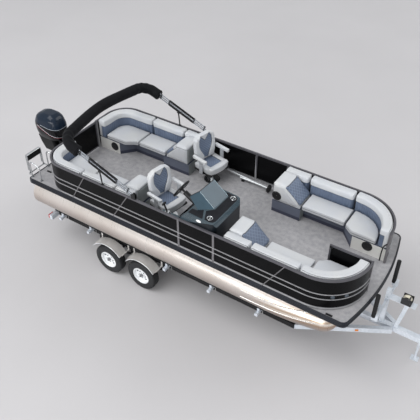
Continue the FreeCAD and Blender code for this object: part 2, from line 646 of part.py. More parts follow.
console_plan.translate(V(0, 0.5 * (CONSOLE_INNER + console_outer), FOOT_Z))
console = side_prism(console_profile, console_outer, CONSOLE_INNER).common(
    console_plan.extrude(V(0, 0, CONSOLE_HEIGHT + 100)))
side_shelf = block(SHELF_AFT, CONSOLE_AFT + 200, console_outer, console_outer + SHELF_WIDTH, FOOT_Z,
                   DECK_TOP + SHELF_HEIGHT)

# windscreen: three flat panes that lean aft, each a ruled side of one bent sheet
SCREEN_THICK = 8.0
SCREEN_BASE = [(4140, -1045), (4355, -850), (4360, -405), (4160, -330)]
SCREEN_TOP = [(3985, -1065), (4055, -850), (4075, -430), (3990, -350)]
SCREEN_HIGH = DECK_TOP + 1110


def console_top(x):
    """Height of the sloped console top at x."""
    (x0, z0), (x1, z1) = console_profile[3], console_profile[4]
    return z0 + (z1 - z0) * (x - x0) / (x1 - x0)


def screen_outline(points):
    """The panes' outer corners, then the inner ones in the opposite order."""
    centre_x = points[0][0] - 100
    centre_y = 0.5 * (points[1][1] + points[2][1])
    inner = []
    for x, y in points:
        inward = V(centre_x - x, centre_y - y, 0).normalize() * SCREEN_THICK
        inner.append((x + inward.x, y + inward.y))
    return points + inner[::-1]


base = [V(x, y, console_top(x) + SEAT_GAP) for x, y in screen_outline(SCREEN_BASE)]
top = [V(x, y, SCREEN_HIGH) for x, y in screen_outline(SCREEN_TOP)]
screen = Part.makeLoft([Part.makePolygon(base + base[:1]), Part.makePolygon(top + top[:1])], True, True)
keep("windscreen", [screen])

# steering wheel, made flat and then turned onto its column
COLUMN_RADIUS = 20.0
COLUMN_LENGTH = 128.0
COLUMN_SEAT = 38.0        # how far the column goes into its boss
BOSS_RADIUS = 48.0
BOSS_LENGTH = 330.0
wheel_x, wheel_y, wheel_height = HELM_WHEEL_CENTRE
wheel_z = DECK_TOP + wheel_height
rim = Part.makeTorus(HELM_WHEEL_RADIUS, HELM_WHEEL_RIM)
hub = Part.makeCylinder(38, 40, V(0, 0, -28))
spokes = []
for angle in (90, 210, 330):
    spoke = block(20, HELM_WHEEL_RADIUS, -14, 14, -8, 2)
    spokes.append(turned(spoke, (0, 0, 0), (0, 0, 1), angle))
column = Part.makeCylinder(COLUMN_RADIUS, COLUMN_LENGTH, V(0, 0, -COLUMN_LENGTH))
helm_wheel = fuse([rim, hub, column] + spokes)
# the wheel's own axis is Z; leaned aft so that it points up and back to the driver
helm_wheel = turned(helm_wheel, (0, 0, 0), (0, 1, 0), -(90 - HELM_WHEEL_TILT))
keep("helm_wheel", [moved(helm_wheel, wheel_x, wheel_y, wheel_z)])
wheel_axis = V(-math.cos(math.radians(HELM_WHEEL_TILT)), 0, math.sin(math.radians(HELM_WHEEL_TILT)))
boss_top = V(wheel_x, wheel_y, wheel_z) - wheel_axis * (COLUMN_LENGTH - COLUMN_SEAT)
boss = Part.makeCylinder(BOSS_RADIUS, BOSS_LENGTH, boss_top, wheel_axis * -1)
bore = Part.makeCylinder(COLUMN_RADIUS + PIN_GAP, COLUMN_SEAT + 3, boss_top, wheel_axis * -1)
keep("helm_console", [fuse([console, side_shelf, boss]).cut(bore)])

# throttle: a dome on the side shelf, a lever that leans aft and a cross grip
THROTTLE_X = SHELF_AFT + 130.0
THROTTLE_LEAN = 70.0
THROTTLE_REACH = 190.0    # height of the grip above the shelf
GRIP_HALF = 40.0
throttle_y = console_outer + 0.5 * SHELF_WIDTH
shelf_top = DECK_TOP + SHELF_HEIGHT
grip_x = THROTTLE_X - THROTTLE_LEAN
grip_z = shelf_top + THROTTLE_REACH
dome = rod((THROTTLE_X, throttle_y, shelf_top + SEAT_GAP), (THROTTLE_X, throttle_y, shelf_top + 50), 42)
lever = rod((THROTTLE_X, throttle_y, shelf_top + 30), (grip_x, throttle_y, grip_z), 14)
grip = rod((grip_x, throttle_y - GRIP_HALF, grip_z), (grip_x, throttle_y + GRIP_HALF, grip_z), 18)
keep("throttle", [fuse([dome, lever, grip])])


# ------------------------------------------------------------ chairs
CHAIR_CUSHION = 125.0     # thickness of the seat
CHAIR_FRAME_DEPTH = 55.0  # from the swivel's face to the underside of the seat
PEDESTAL_HEIGHT = CHAIR_SEAT_TOP - CHAIR_CUSHION - CHAIR_FRAME_DEPTH
PEDESTAL_RADIUS = 38.0
PEDESTAL_FOOT_RADIUS = 170.0
SWIVEL_RADIUS = 75.0
SWIVEL_THICK = 18.0
PAN_HALF = 235.0
PAN_EDGE = 20.0           # the seat pan stops this far inside the cushion's sides
ARM_LOW = 150.0           # underside of the arm pad above the seat
ARM_PAD_DEPTH = 65.0
ARM_PAD_IN = 10.0         # the pad reaches this far over the seat's side
ARM_PAD_OUT = 55.0
ARM_PAD_AFT = -150.0      # its ends, from the pedestal
ARM_PAD_FORE = 140.0
ARM_BAR_AFT = -60.0
ARM_BAR_FORE = 30.0
ARM_BAR_THICK = 18.0
ARM_BAR_GAP = 2.0
CHAIR_SEAT_AFT = -250.0
CHAIR_SEAT_FORE = 270.0
CHAIR_BACK_EDGE = 10.0    # the back stops this far inside the seat's sides
CHAIR_ARM_LOW = DECK_TOP + CHAIR_SEAT_TOP + ARM_LOW
CHAIR_FRAME_LOW = FOOT_Z + PEDESTAL_HEIGHT + SEAT_GAP
CHAIR_SEAT_LOW = DECK_TOP + CHAIR_SEAT_TOP - CHAIR_CUSHION
CHAIR_HALF = 0.5 * CHAIR_WIDTH

CHAIRS = (
    # name, place of the pedestal, turn at rest
    ("helm_chair", HELM_CHAIR, HELM_CHAIR_TURN),
    ("companion_chair", COMPANION_CHAIR, COMPANION_CHAIR_TURN),
)


def pedestal(x, y):
    foot = Part.makeCylinder(PEDESTAL_FOOT_RADIUS, 14, V(x, y, FOOT_Z))
    post = Part.makeCylinder(PEDESTAL_RADIUS, PEDESTAL_HEIGHT, V(x, y, FOOT_Z))
    return fuse([foot, post])


def chair_frame():
    """Swivel plate, seat pan and arm supports of a chair that faces forward over x = y = 0."""
    plate_top = CHAIR_FRAME_LOW + SWIVEL_THICK - OVERLAP
    pan_half_width = CHAIR_HALF - PAN_EDGE
    pan_top = CHAIR_SEAT_LOW - SEAT_GAP
    pieces = [
        Part.makeCylinder(SWIVEL_RADIUS, SWIVEL_THICK, V(0, 0, CHAIR_FRAME_LOW)),
        block(-PAN_HALF, PAN_HALF, -pan_half_width, pan_half_width, plate_top, pan_top),
    ]
    outer = CHAIR_HALF + ARM_BAR_GAP + ARM_BAR_THICK
    for side in (-1, 1):
        upright = sorted((side * (CHAIR_HALF + ARM_BAR_GAP), side * outer))
        pieces.append(block(ARM_BAR_AFT, ARM_BAR_FORE, *upright, plate_top, CHAIR_ARM_LOW))
        foot = sorted((side * (pan_half_width - OVERLAP), side * outer))
        pieces.append(block(ARM_BAR_AFT, ARM_BAR_FORE, *foot, plate_top, pan_top))
    return fuse(pieces)


def chair_cushions():
    """Seat, leaning back and two arm pads, placed as the frame is."""
    seat_top = DECK_TOP + CHAIR_SEAT_TOP
    back_low = seat_top + SEAT_GAP
    back_high = DECK_TOP + CHAIR_BACK_TOP
    back_half = CHAIR_HALF - CHAIR_BACK_EDGE
    seat = block(CHAIR_SEAT_AFT, CHAIR_SEAT_FORE, -CHAIR_HALF, CHAIR_HALF, CHAIR_SEAT_LOW, seat_top)
    back = side_prism([
        (CHAIR_SEAT_AFT, back_low), (CHAIR_SEAT_AFT + 110, back_low),
        (CHAIR_SEAT_AFT + 60, back_high), (CHAIR_SEAT_AFT - 60, back_high),
    ], -back_half, back_half)
    cushions = [seat, back]
    for side in (-1, 1):
        y_pair = sorted((side * (CHAIR_HALF - ARM_PAD_IN), side * (CHAIR_HALF + ARM_PAD_OUT)))
        cushions.append(block(ARM_PAD_AFT, ARM_PAD_FORE, *y_pair, CHAIR_ARM_LOW + SEAT_GAP,
                              CHAIR_ARM_LOW + ARM_PAD_DEPTH))
    return cushions


keep("chair_pedestals", [pedestal(*place) for name, place, turn in CHAIRS])
for name, place, turn in CHAIRS:
    frame_piece = turned(chair_frame(), (0, 0, 0), (0, 0, 1), turn)
    keep(name + "_frame", [moved(frame_piece, *place, 0)])
    keep(name + "_cushions", [moved(turned(cushion, (0, 0, 0), (0, 0, 1), turn), *place, 0)
                              for cushion in chair_cushions()])

# table pedestal, stowed along the port side: two thin legs and the table's round socket
LEG_RADIUS = 20.0
SOCKET_RADIUS = 87.0
SOCKET_THICK = 24.0
LEG_OUTER = (3384.0, FENCE_HALF - 115.0)     # aft end of the long leg
SOCKET_PLACE = (4430.0, FENCE_HALF - 217.0)
SHORT_LEG = (3750.0, 4342.0)                 # ends of the short leg
SHORT_LEG_Y = FENCE_HALF - 201.0
leg_z = FOOT_Z + SOCKET_RADIUS
along = (V(*SOCKET_PLACE, 0) - V(*LEG_OUTER, 0)).normalize()
socket_end = V(*SOCKET_PLACE, leg_z) + along * SOCKET_THICK
CLIP_HALF = 22.0
clip_low = FENCE_HALF - 215.0
clip_high = FENCE_HALF - 135.0
keep("table_pedestal", [fuse([
    rod((*LEG_OUTER, leg_z), (*SOCKET_PLACE, leg_z), LEG_RADIUS),
    rod((SHORT_LEG[0], SHORT_LEG_Y, leg_z), (SHORT_LEG[1], SHORT_LEG_Y, leg_z), LEG_RADIUS),
    rod((*SOCKET_PLACE, leg_z), tuple(socket_end), SOCKET_RADIUS),
    block(SHORT_LEG[0] + 60 - CLIP_HALF, SHORT_LEG[0] + 60 + CLIP_HALF, clip_low, clip_high, FOOT_Z, leg_z),
])])

# ------------------------------------------------------------ bimini top
pivot_z = DECK_TOP + BIMINI_PIVOT_Z
lean = math.radians(BIMINI_ANGLE)


def bimini_point(reach, y, lift=0.0):
    """A point at a distance from the pivot line along the folded top."""
    x = BIMINI_PIVOT_X - reach * math.cos(lean) + lift * math.sin(lean)
    z = pivot_z + reach * math.sin(lean) + lift * math.cos(lean)
    return (x, y, z)


def pipe(points, bends, radius):
    """A round bar along straight runs, with an arc of its own radius at each corner."""
    corners = [V(*point) for point in points]
    edges = []
    start = corners[0]
    for index in range(1, len(corners) - 1):
        corner = corners[index]
        into = (corner - corners[index - 1]).normalize()
        away = (corners[index + 1] - corner).normalize()
        half_turn = 0.5 * into.getAngle(away)
        bend = bends[index - 1]
        setback = bend * math.tan(half_turn)
        first = corner - into * setback
        last = corner + away * setback
        inward = (away - into).normalize()
        middle = corner + inward * (bend / math.cos(half_turn) - bend)
        edges.append(Part.LineSegment(start, first).toShape())
        edges.append(Part.Arc(first, middle, last).toShape())
        start = last
    edges.append(Part.LineSegment(start, corners[-1]).toShape())
    path = Part.Wire(edges)
    along = (corners[1] - corners[0]).normalize()
    section = Part.Wire([Part.Circle(corners[0], along, radius).toShape()])
    return path.makePipeShell([section], True, False)


boot_path = [
    bimini_point(BOOT_START, -BIMINI_HALF), bimini_point(BIMINI_REACH, -BIMINI_HALF),
    bimini_point(BIMINI_REACH + BIMINI_CROWN, 0),
    bimini_point(BIMINI_REACH, BIMINI_HALF), bimini_point(BOOT_START, BIMINI_HALF),
]
boot_bends = (BIMINI_CORNER, BIMINI_CROWN_BEND, BIMINI_CORNER)
keep("bimini_boot", [pipe(boot_path, boot_bends, BOOT_RADIUS)])

ARMS = (
    # lift across the arm, radius, start along the arm
    (-40.0, 13.0, 60.0), (6.0, 11.0, 0.0), (55.0, 13.0, 120.0),
)
SLEEVE_START = 430.0
SLEEVE_END = 1080.0
SLEEVE_RADIUS = 22.0
ARM_CLAMPS = (130.0, 404.0, 1080.0, 1300.0)
CLAMP_LENGTH = 26.0
CLAMP_SIDE = 12.0
CLAMP_LOW = ARMS[0][0] - ARMS[0][1] - 2.0
CLAMP_HIGH = ARMS[2][0] + ARMS[2][1] + 2.0
KNUCKLE_RADIUS = 24.0
KNUCKLE_HALF = 16.0
FORK_WALL = 6.0
FORK_HALF = 46.0          # the fork's cheeks are this wide, and round about the pin
FORK_BASE = 8.0


def bimini_arms(y):
    pieces = [rod((BIMINI_PIVOT_X, y - KNUCKLE_HALF, pivot_z), (BIMINI_PIVOT_X, y + KNUCKLE_HALF, pivot_z),
                  KNUCKLE_RADIUS)]
    for lift, radius, start in ARMS:
        pieces.append(rod(bimini_point(start, y, lift), bimini_point(BOOT_START - SEAT_GAP, y, lift), radius))
    for lift in (ARMS[0][0], ARMS[2][0]):
        pieces.append(rod(bimini_point(SLEEVE_START, y, lift), bimini_point(SLEEVE_END, y, lift),
                          SLEEVE_RADIUS))
    near = y - CLAMP_SIDE
    for reach in ARM_CLAMPS:
        end = reach + CLAMP_LENGTH
        pieces.append(prism([bimini_point(reach, near, CLAMP_LOW), bimini_point(end, near, CLAMP_LOW),
                             bimini_point(end, near, CLAMP_HIGH), bimini_point(reach, near, CLAMP_HIGH)],
                            (0, 2 * CLAMP_SIDE, 0)))
    hole = rod((BIMINI_PIVOT_X, y - PASS, pivot_z), (BIMINI_PIVOT_X, y + PASS, pivot_z),
               BIMINI_PIN_RADIUS + PIN_GAP)
    return fuse(pieces).cut(hole)


starboard_arms = bimini_arms(-BIMINI_HALF)
keep("bimini_arms", both_sides(starboard_arms))


def bimini_mount(y):
    """A forked bracket on the top rail with a pin through the arm's knuckle."""
    fork_inner = KNUCKLE_HALF + RUN_GAP
    fork_outer = fork_inner + FORK_WALL
    pieces = [rod((BIMINI_PIVOT_X, y - fork_outer, pivot_z), (BIMINI_PIVOT_X, y + fork_outer, pivot_z),
                  BIMINI_PIN_RADIUS)]
    for side in (-1, 1):
        y_pair = sorted((y + side * fork_inner, y + side * fork_outer))
        pieces.append(block(BIMINI_PIVOT_X - FORK_HALF, BIMINI_PIVOT_X + FORK_HALF, *y_pair,
                            RAIL_TOP + SEAT_GAP, pivot_z))
        pieces.append(rod((BIMINI_PIVOT_X, y_pair[0], pivot_z), (BIMINI_PIVOT_X, y_pair[1], pivot_z),
                          FORK_HALF))
    pieces.append(block(BIMINI_PIVOT_X - FORK_HALF, BIMINI_PIVOT_X + FORK_HALF, y - fork_outer,
                        y + fork_outer, RAIL_TOP + SEAT_GAP, RAIL_TOP + FORK_BASE))
    return fuse(pieces)


mount = bimini_mount(-BIMINI_HALF)
STRUT_FOOT_HALF = 30.0
STRUT_FOOT_HEIGHT = 14.0
strut_foot = block(STRUT_X - STRUT_FOOT_HALF, STRUT_X + STRUT_FOOT_HALF, -BIMINI_HALF - KNUCKLE_HALF,
                   -BIMINI_HALF + KNUCKLE_HALF, RAIL_TOP + SEAT_GAP, RAIL_TOP + STRUT_FOOT_HEIGHT)
# each rear leg ends in a saddle under the lowest sleeve
SADDLE_HALF = 30.0
SADDLE_THICK = 18.0
SADDLE_SIDE = 20.0
saddle_face = ARMS[0][0] - SLEEVE_RADIUS - SEAT_GAP
saddle_low = saddle_face - SADDLE_THICK
arm_reach = (BIMINI_PIVOT_X - STRUT_X) / math.cos(lean)
strut = rod((STRUT_X, -BIMINI_HALF, RAIL_TOP + 0.5 * STRUT_FOOT_HEIGHT),
            bimini_point(arm_reach, -BIMINI_HALF, saddle_face - 0.7 * SADDLE_THICK), STRUT_RADIUS)
saddle_near = -BIMINI_HALF - SADDLE_SIDE
saddle = prism([
    bimini_point(arm_reach - SADDLE_HALF, saddle_near, saddle_face),
    bimini_point(arm_reach + SADDLE_HALF, saddle_near, saddle_face),
    bimini_point(arm_reach + SADDLE_HALF, saddle_near, saddle_low),
    bimini_point(arm_reach - SADDLE_HALF, saddle_near, saddle_low),
], (0, 2 * SADDLE_SIDE, 0))
keep("bimini_mounts", both_sides(mount) + both_sides(fuse([strut_foot, strut, saddle])))

# ------------------------------------------------------------ outboard motor
CLAMP_HALF = 165.0
CLAMP_FOOT = TILT_Z - 470.0
SWIVEL_FOOT = TILT_Z - 380.0
clamps = []
for side in (-1, 1):
    y_pair = sorted((side * 105, side * CLAMP_HALF))
    profile = [
        (TRANSOM_FACE - SEAT_GAP, CLAMP_FOOT), (TRANSOM_FACE - SEAT_GAP, DECK_TOP - TRIM_DEPTH + 76),
        (TRANSOM_FACE + 30, DECK_TOP - TRIM_DEPTH + 76), (TRANSOM_FACE + 30, DECK_TOP - TRIM_DEPTH + 100),
        (TILT_X + 30, TILT_Z + 34), (TILT_X - 34, TILT_Z + 34), (TILT_X - 34, TILT_Z - 60),
        (TRANSOM_FACE - 40, CLAMP_FOOT),
    ]
    clamps.append(side_prism(profile, *y_pair))
tilt_tube = rod((TILT_X, -106, TILT_Z), (TILT_X, 106, TILT_Z), TILT_TUBE_RADIUS)
keep("motor_clamps", [fuse(clamps + [tilt_tube])])

swivel = side_prism([
    (STEER_X - 62, TILT_Z + 60), (TILT_X + 40, TILT_Z + 60), (TILT_X + 40, TILT_Z - 38),
    (TRANSOM_FACE - 62, TILT_Z - 60), (STEER_X + 62, SWIVEL_FOOT), (STEER_X - 62, SWIVEL_FOOT),
], -90, 90)
swivel = swivel.cut(rod((TILT_X, -100, TILT_Z), (TILT_X, 100, TILT_Z), TILT_TUBE_RADIUS + PIN_GAP))
swivel = swivel.cut(rod((STEER_X, 0, SWIVEL_FOOT - PASS), (STEER_X, 0, TILT_Z + 60 + PASS),
                        STEER_POST_RADIUS + PIN_GAP))
keep("motor_swivel", [swivel])

# midsection: steering post, its two mounts, driveshaft housing and gearcase
LEG_FORE = STEER_X - 96
LEG_AFT = STEER_X - 350
post = rod((STEER_X, 0, SWIVEL_FOOT - 20), (STEER_X, 0, TILT_Z + 75), STEER_POST_RADIUS)
yoke_top = block(STEER_X - 330, STEER_X + 50, -85, 85, TILT_Z + 66, COWL_BASE - SEAT_GAP)
yoke_low = block(STEER_X - 330, STEER_X + 48, -75, 75, SWIVEL_FOOT - 70, SWIVEL_FOOT - 8)


WIDEST = 0.32             # a leg section is widest this share of its length from the front
BACK_HALF = 6.0


def leg_outline(fore, aft, half, z):
    """A leg section with an arc down each side from a rounded front to a thin back."""
    third = fore - WIDEST * (fore - aft)
    return Part.Wire([
        Part.Arc(V(fore, 0, z), V(third, half, z), V(aft, BACK_HALF, z)).toShape(),
        Part.LineSegment(V(aft, BACK_HALF, z), V(aft, -BACK_HALF, z)).toShape(),
        Part.Arc(V(aft, -BACK_HALF, z), V(third, -half, z), V(fore, 0, z)).toShape(),
    ])


def streamlined(fore, aft, half, z0, z1):
    return Part.Face(leg_outline(fore, aft, half, z0)).extrude(V(0, 0, z1 - z0))


housing = streamlined(LEG_FORE, LEG_AFT, 70, PLATE_Z, COWL_BASE - SEAT_GAP)
lower_leg = streamlined(LEG_FORE + 10, LEG_AFT + 40, 42, PROP_SHAFT_Z, PLATE_Z + 40)
plate = block(LEG_AFT - 150, LEG_FORE + 20, -120, 120, PLATE_Z, PLATE_Z + 12)
# the shroud under the cowl: a box that narrows downwards, all of it behind the swivel
SHROUD_LOW = COWL_BASE - 380.0
SHROUD_SECTIONS = (
    # z, aft x, half width, corner radius
    (SHROUD_LOW, COWL_AFT + 115, 95.0, 60.0),
    (SHROUD_LOW + 200, COWL_AFT + 60, 140.0, 80.0),
    (COWL_BASE - SEAT_GAP, COWL_AFT + 45, 175.0, 90.0),
)
shroud_wires = []
for z, aft, half, radius in SHROUD_SECTIONS:
    outline = plan_face(aft, LEG_FORE - 30, half, radius, radius, 0, 0).OuterWire
    outline.translate(V(0, 0, z))
    shroud_wires.append(outline)
apron = Part.makeLoft(shroud_wires, True, True)
torpedo_nose = Part.makeCone(12, 58, 150, V(LEG_FORE + 60, 0, PROP_SHAFT_Z), V(-1, 0, 0))
PROP_FACE = LEG_AFT + 30
torpedo = rod((LEG_FORE - 90, 0, PROP_SHAFT_Z), (PROP_FACE, 0, PROP_SHAFT_Z), 58)
skeg = side_prism([
    (LEG_FORE - 60, PROP_SHAFT_Z), (PROP_FACE + 20, PROP_SHAFT_Z), (PROP_FACE + 10, PROP_SHAFT_Z - 215),
    (PROP_FACE + 90, PROP_SHAFT_Z - 215),
], -6, 6)
shaft = rod((PROP_FACE + 10, 0, PROP_SHAFT_Z), (PROP_FACE - 150, 0, PROP_SHAFT_Z), PROP_SHAFT_RADIUS)
keep("motor_leg", [fuse([post, yoke_top, yoke_low, housing, apron, lower_leg, plate, torpedo_nose, torpedo,
                         skeg, shaft])])

# cowl: a lofted shell of rounded sections, from z and the four sides
COWL_SECTIONS = (
    # z, aft x, fore x, half width, corner radius
    (COWL_BASE, COWL_AFT + 35, COWL_FORE - 50, 195.0, 100.0),
    (COWL_BASE + 150, COWL_AFT + 8, COWL_FORE - 10, 232.0, 120.0),
    (COWL_BASE + 330, COWL_AFT, COWL_FORE, COWL_HALF, 130.0),
    (COWL_TOP - 110, COWL_AFT + 70, COWL_FORE - 60, 215.0, 120.0),
    (COWL_TOP, COWL_AFT + 260, COWL_FORE - 180, 120.0, 80.0),
)
sections = []
for z, aft, fore, half, radius in COWL_SECTIONS:
    outline = plan_face(aft, fore, half, radius, radius, 0, 0).OuterWire
    outline.translate(V(0, 0, z))
    sections.append(outline)
keep("motor_cowl", [Part.makeLoft(sections, True, True)])

prop_x = PROP_FACE - 10
prop_hub = rod((prop_x, 0, PROP_SHAFT_Z), (prop_x - 120, 0, PROP_SHAFT_Z), 50)
prop_hub = prop_hub.cut(rod((prop_x + 10, 0, PROP_SHAFT_Z), (prop_x - 130, 0, PROP_SHAFT_Z),
                            PROP_SHAFT_RADIUS + PIN_GAP))
blades = []
for index in range(3):
    blade = block(-60, 60, -4, 4, 40, PROP_RADIUS)
    blade = blade.common(Part.makeSphere(PROP_RADIUS))
    blade = turned(blade, (0, 0, 0), (0, 0, 1), 32)
    blade = turned(blade, (0, 0, 0), (1, 0, 0), 120 * index)
    blades.append(moved(blade, prop_x - 60, 0, PROP_SHAFT_Z))
keep("propeller", [fuse([prop_hub] + blades)])

# ------------------------------------------------------------ boarding ladder
ladder_z = DECK_TOP + LADDER_PIVOT_RISE
INNER_TUBE_X = LADDER_PIVOT_X - 36.0     # the second, sliding pair of tubes
INNER_TUBE_LOW = 60.0
INNER_TUBE_HIGH = 380.0
LADDER_LINK = 24.0        # height of the links between the pairs
STUB_END = LADDER_HALF + 29.0
TREADS = (300.0, 335.0, 370.0, 405.0)    # heights above the pivot, stacked together when folded
TREAD_THICK = 26.0
TREAD_AFT = LADDER_PIVOT_X - 52.0
TREAD_FORE = LADDER_PIVOT_X + 8.0
ladder_starboard = LADDER_Y - LADDER_HALF
ladder_port = LADDER_Y + LADDER_HALF
ladder_top = ladder_z + LADDER_HEIGHT
ladder_tubes = [
    rod((LADDER_PIVOT_X, ladder_starboard, ladder_top), (LADDER_PIVOT_X, ladder_port, ladder_top),
        LADDER_TUBE_RADIUS),
    rod((LADDER_PIVOT_X, ladder_starboard - LADDER_TUBE_RADIUS, ladder_z),
        (LADDER_PIVOT_X, ladder_port + LADDER_TUBE_RADIUS, ladder_z), LADDER_TUBE_RADIUS + OVERLAP),
    rod((LADDER_PIVOT_X, LADDER_Y - STUB_END, ladder_z), (LADDER_PIVOT_X, LADDER_Y + STUB_END, ladder_z),
        LADDER_STUB_RADIUS),
]
for y in (ladder_starboard, ladder_port):
    ladder_tubes.append(rod((LADDER_PIVOT_X, y, ladder_z), (LADDER_PIVOT_X, y, ladder_top),
                            LADDER_TUBE_RADIUS))
    ladder_tubes.append(rod((INNER_TUBE_X, y, ladder_z + INNER_TUBE_LOW),
                            (INNER_TUBE_X, y, ladder_z + INNER_TUBE_HIGH), LADDER_TUBE_RADIUS))
    for height in (INNER_TUBE_LOW, INNER_TUBE_HIGH - LADDER_LINK):
        ladder_tubes.append(block(INNER_TUBE_X, LADDER_PIVOT_X, y - 8, y + 8, ladder_z + height,
                                  ladder_z + height + LADDER_LINK))
for height in TREADS:
    ladder_tubes.append(block(TREAD_AFT, TREAD_FORE, ladder_starboard, ladder_port, ladder_z + height,
                              ladder_z + height + TREAD_THICK))
keep("boarding_ladder", [fuse(ladder_tubes)])

HOOP_AFT = 30.0
HOOP_REACH = 300.0
HOOP_HEIGHT = 400.0       # at its aft bend, and a little less at the other
HOOP_FALL = 70.0
HOOP_BEND = 60.0
HOOP_TUBE_RADIUS = 13.0
HOOP_OUT = 45.0           # the hoops stand this far outside the ladder's tubes
FLANGE_RADIUS = 30.0
FLANGE_THICK = 8.0
HINGE_ARM_NEAR = 16.0     # faces of the hinge arm, from the hoop
HINGE_ARM_FAR = 26.0
HINGE_ARM_LOW = DECK_TOP + 6.0
HINGE_ARM_AFT = LADDER_PIVOT_X - 16.0
rails = []
for side in (-1, 1):
    y = LADDER_Y + side * (LADDER_HALF + HOOP_OUT)
    hoop = pipe([(HOOP_AFT, y, FOOT_Z), (HOOP_AFT, y, DECK_TOP + HOOP_HEIGHT),
                 (HOOP_REACH, y, DECK_TOP + HOOP_HEIGHT - HOOP_FALL), (HOOP_REACH, y, FOOT_Z)],
                (HOOP_BEND, HOOP_BEND), HOOP_TUBE_RADIUS)
    flange_a = Part.makeCylinder(FLANGE_RADIUS, FLANGE_THICK, V(HOOP_AFT, y, FOOT_Z))
    flange_b = Part.makeCylinder(FLANGE_RADIUS, FLANGE_THICK, V(HOOP_REACH, y, FOOT_Z))
    arm_faces = sorted((y - side * HINGE_ARM_FAR, y - side * HINGE_ARM_NEAR))
    arm = block(HINGE_ARM_AFT, HOOP_AFT + 4, *arm_faces, HINGE_ARM_LOW, ladder_z + 16)
    arm = arm.cut(rod((LADDER_PIVOT_X, y - PASS, ladder_z), (LADDER_PIVOT_X, y + PASS, ladder_z),
                      LADDER_STUB_RADIUS + PIN_GAP))
    bridge_faces = sorted((y, y - side * HINGE_ARM_FAR))
    bridge = block(HOOP_AFT - 18, HOOP_AFT + 18, *bridge_faces, HINGE_ARM_LOW, HINGE_ARM_LOW + 20)
    rails.append(fuse([hoop, flange_a, flange_b, arm, bridge]))
keep("ladder_handrails", rails)

# ------------------------------------------------------------ trailer frame
AXLES = (REAR_AXLE_X, REAR_AXLE_X + AXLE_SPACING)
STATIONS = (600.0, 1400.0, 3400.0, 4450.0, BUNK_END - 260.0)
HALF_RAIL = 0.5 * FRAME_WIDTH


def frame_beam(start, end, half, z0, z1):
    """A straight beam on a plan line from start to end."""
    along = V(end[0] - start[0], end[1] - start[1], 0).normalize()
    side = V(-along.y, along.x, 0) * half
    first = V(*start, 0)
    last = V(*end, 0)
    corners = [first + side, last + side, last - side, first - side]
    return plan_prism([(c.x, c.y) for c in corners], z0, z1)


HANGER_IN = 23.7          # half width between the hanger's cheeks, less the seat gap
HANGER_THICK = 6.0
HANGER_HALF = 35.0
HANGER_DROP = 25.0        # below the spring's eye
STATION_HALF = 30.0       # half width of a cross beam and of a bracket's cap
SOCKET_WALL = 10.0        # the plate that carries the jack's swivel
SWIVEL_ROD = 32.0
HANGERS = (REAR_AXLE_X - SPRING_HALF, REAR_AXLE_X + 0.5 * AXLE_SPACING,
           REAR_AXLE_X + AXLE_SPACING + SPRING_HALF)
CROSS_HALF = RAIL_Y - HALF_RAIL - SEAT_GAP
BEND_FACE = FRAME_BEND + 12.0
ARM_END_Y = 80.0          # centre of each A-frame arm where it meets the tongue
frame = [
    block(FRAME_AFT, FRAME_AFT + FRAME_WIDTH, -BEAM_HALF_SPAN, BEAM_HALF_SPAN, FRAME_LOW, FRAME_HIGH),
    block(FRAME_CROSS, FRAME_CROSS + FRAME_WIDTH, -CROSS_HALF, CROSS_HALF, FRAME_LOW, FRAME_HIGH),
    block(FRAME_CROSS + FRAME_WIDTH + SEAT_GAP, TONGUE_END, -TONGUE_HALF, TONGUE_HALF, FRAME_LOW, FRAME_HIGH),
]
tongue_room = block(FRAME_CROSS, TONGUE_END, -TONGUE_HALF - SEAT_GAP, TONGUE_HALF + SEAT_GAP, 0, DECK_TOP)
rail_room = block(0, BEND_FACE + SEAT_GAP, -FAR, FAR, 0, DECK_TOP)
for side in (-1, 1):
    frame.append(frame_beam((FRAME_AFT + FRAME_WIDTH + SEAT_GAP, side * RAIL_Y), (BEND_FACE, side * RAIL_Y),
                            HALF_RAIL, FRAME_LOW, FRAME_HIGH))
    arm = frame_beam((FRAME_BEND, side * RAIL_Y), (FRAME_JOIN, side * ARM_END_Y), HALF_RAIL,
                     FRAME_LOW, FRAME_HIGH)
    frame.append(arm.cut([rail_room, tongue_room]))
    for x in HANGERS:
        for face in (-HANGER_IN - SEAT_GAP, HANGER_IN + SEAT_GAP + HANGER_THICK):
            near = side * RAIL_Y + face
            frame.append(block(x - HANGER_HALF, x + HANGER_HALF, near - HANGER_THICK, near,
                               SPRING_EYE - HANGER_DROP, FRAME_LOW - SEAT_GAP))
for x in STATIONS:
    frame.append(block(x - STATION_HALF, x + STATION_HALF, -BEAM_HALF_SPAN, BEAM_HALF_SPAN,
                       FRAME_HIGH + SEAT_GAP, BEAM_TOP))
jack_z = 0.5 * (FRAME_LOW + FRAME_HIGH)
frame.append(fuse([
    block(JACK_X - 50, JACK_X + 50, TONGUE_HALF + SEAT_GAP, TONGUE_HALF + SOCKET_WALL, FRAME_LOW, FRAME_HIGH),
    rod((JACK_X, TONGUE_HALF + SOCKET_WALL - OVERLAP, jack_z), (JACK_X, JACK_Y - JACK_SWIVEL, jack_z),
        SWIVEL_ROD),
]))
keep("trailer_frame", frame)

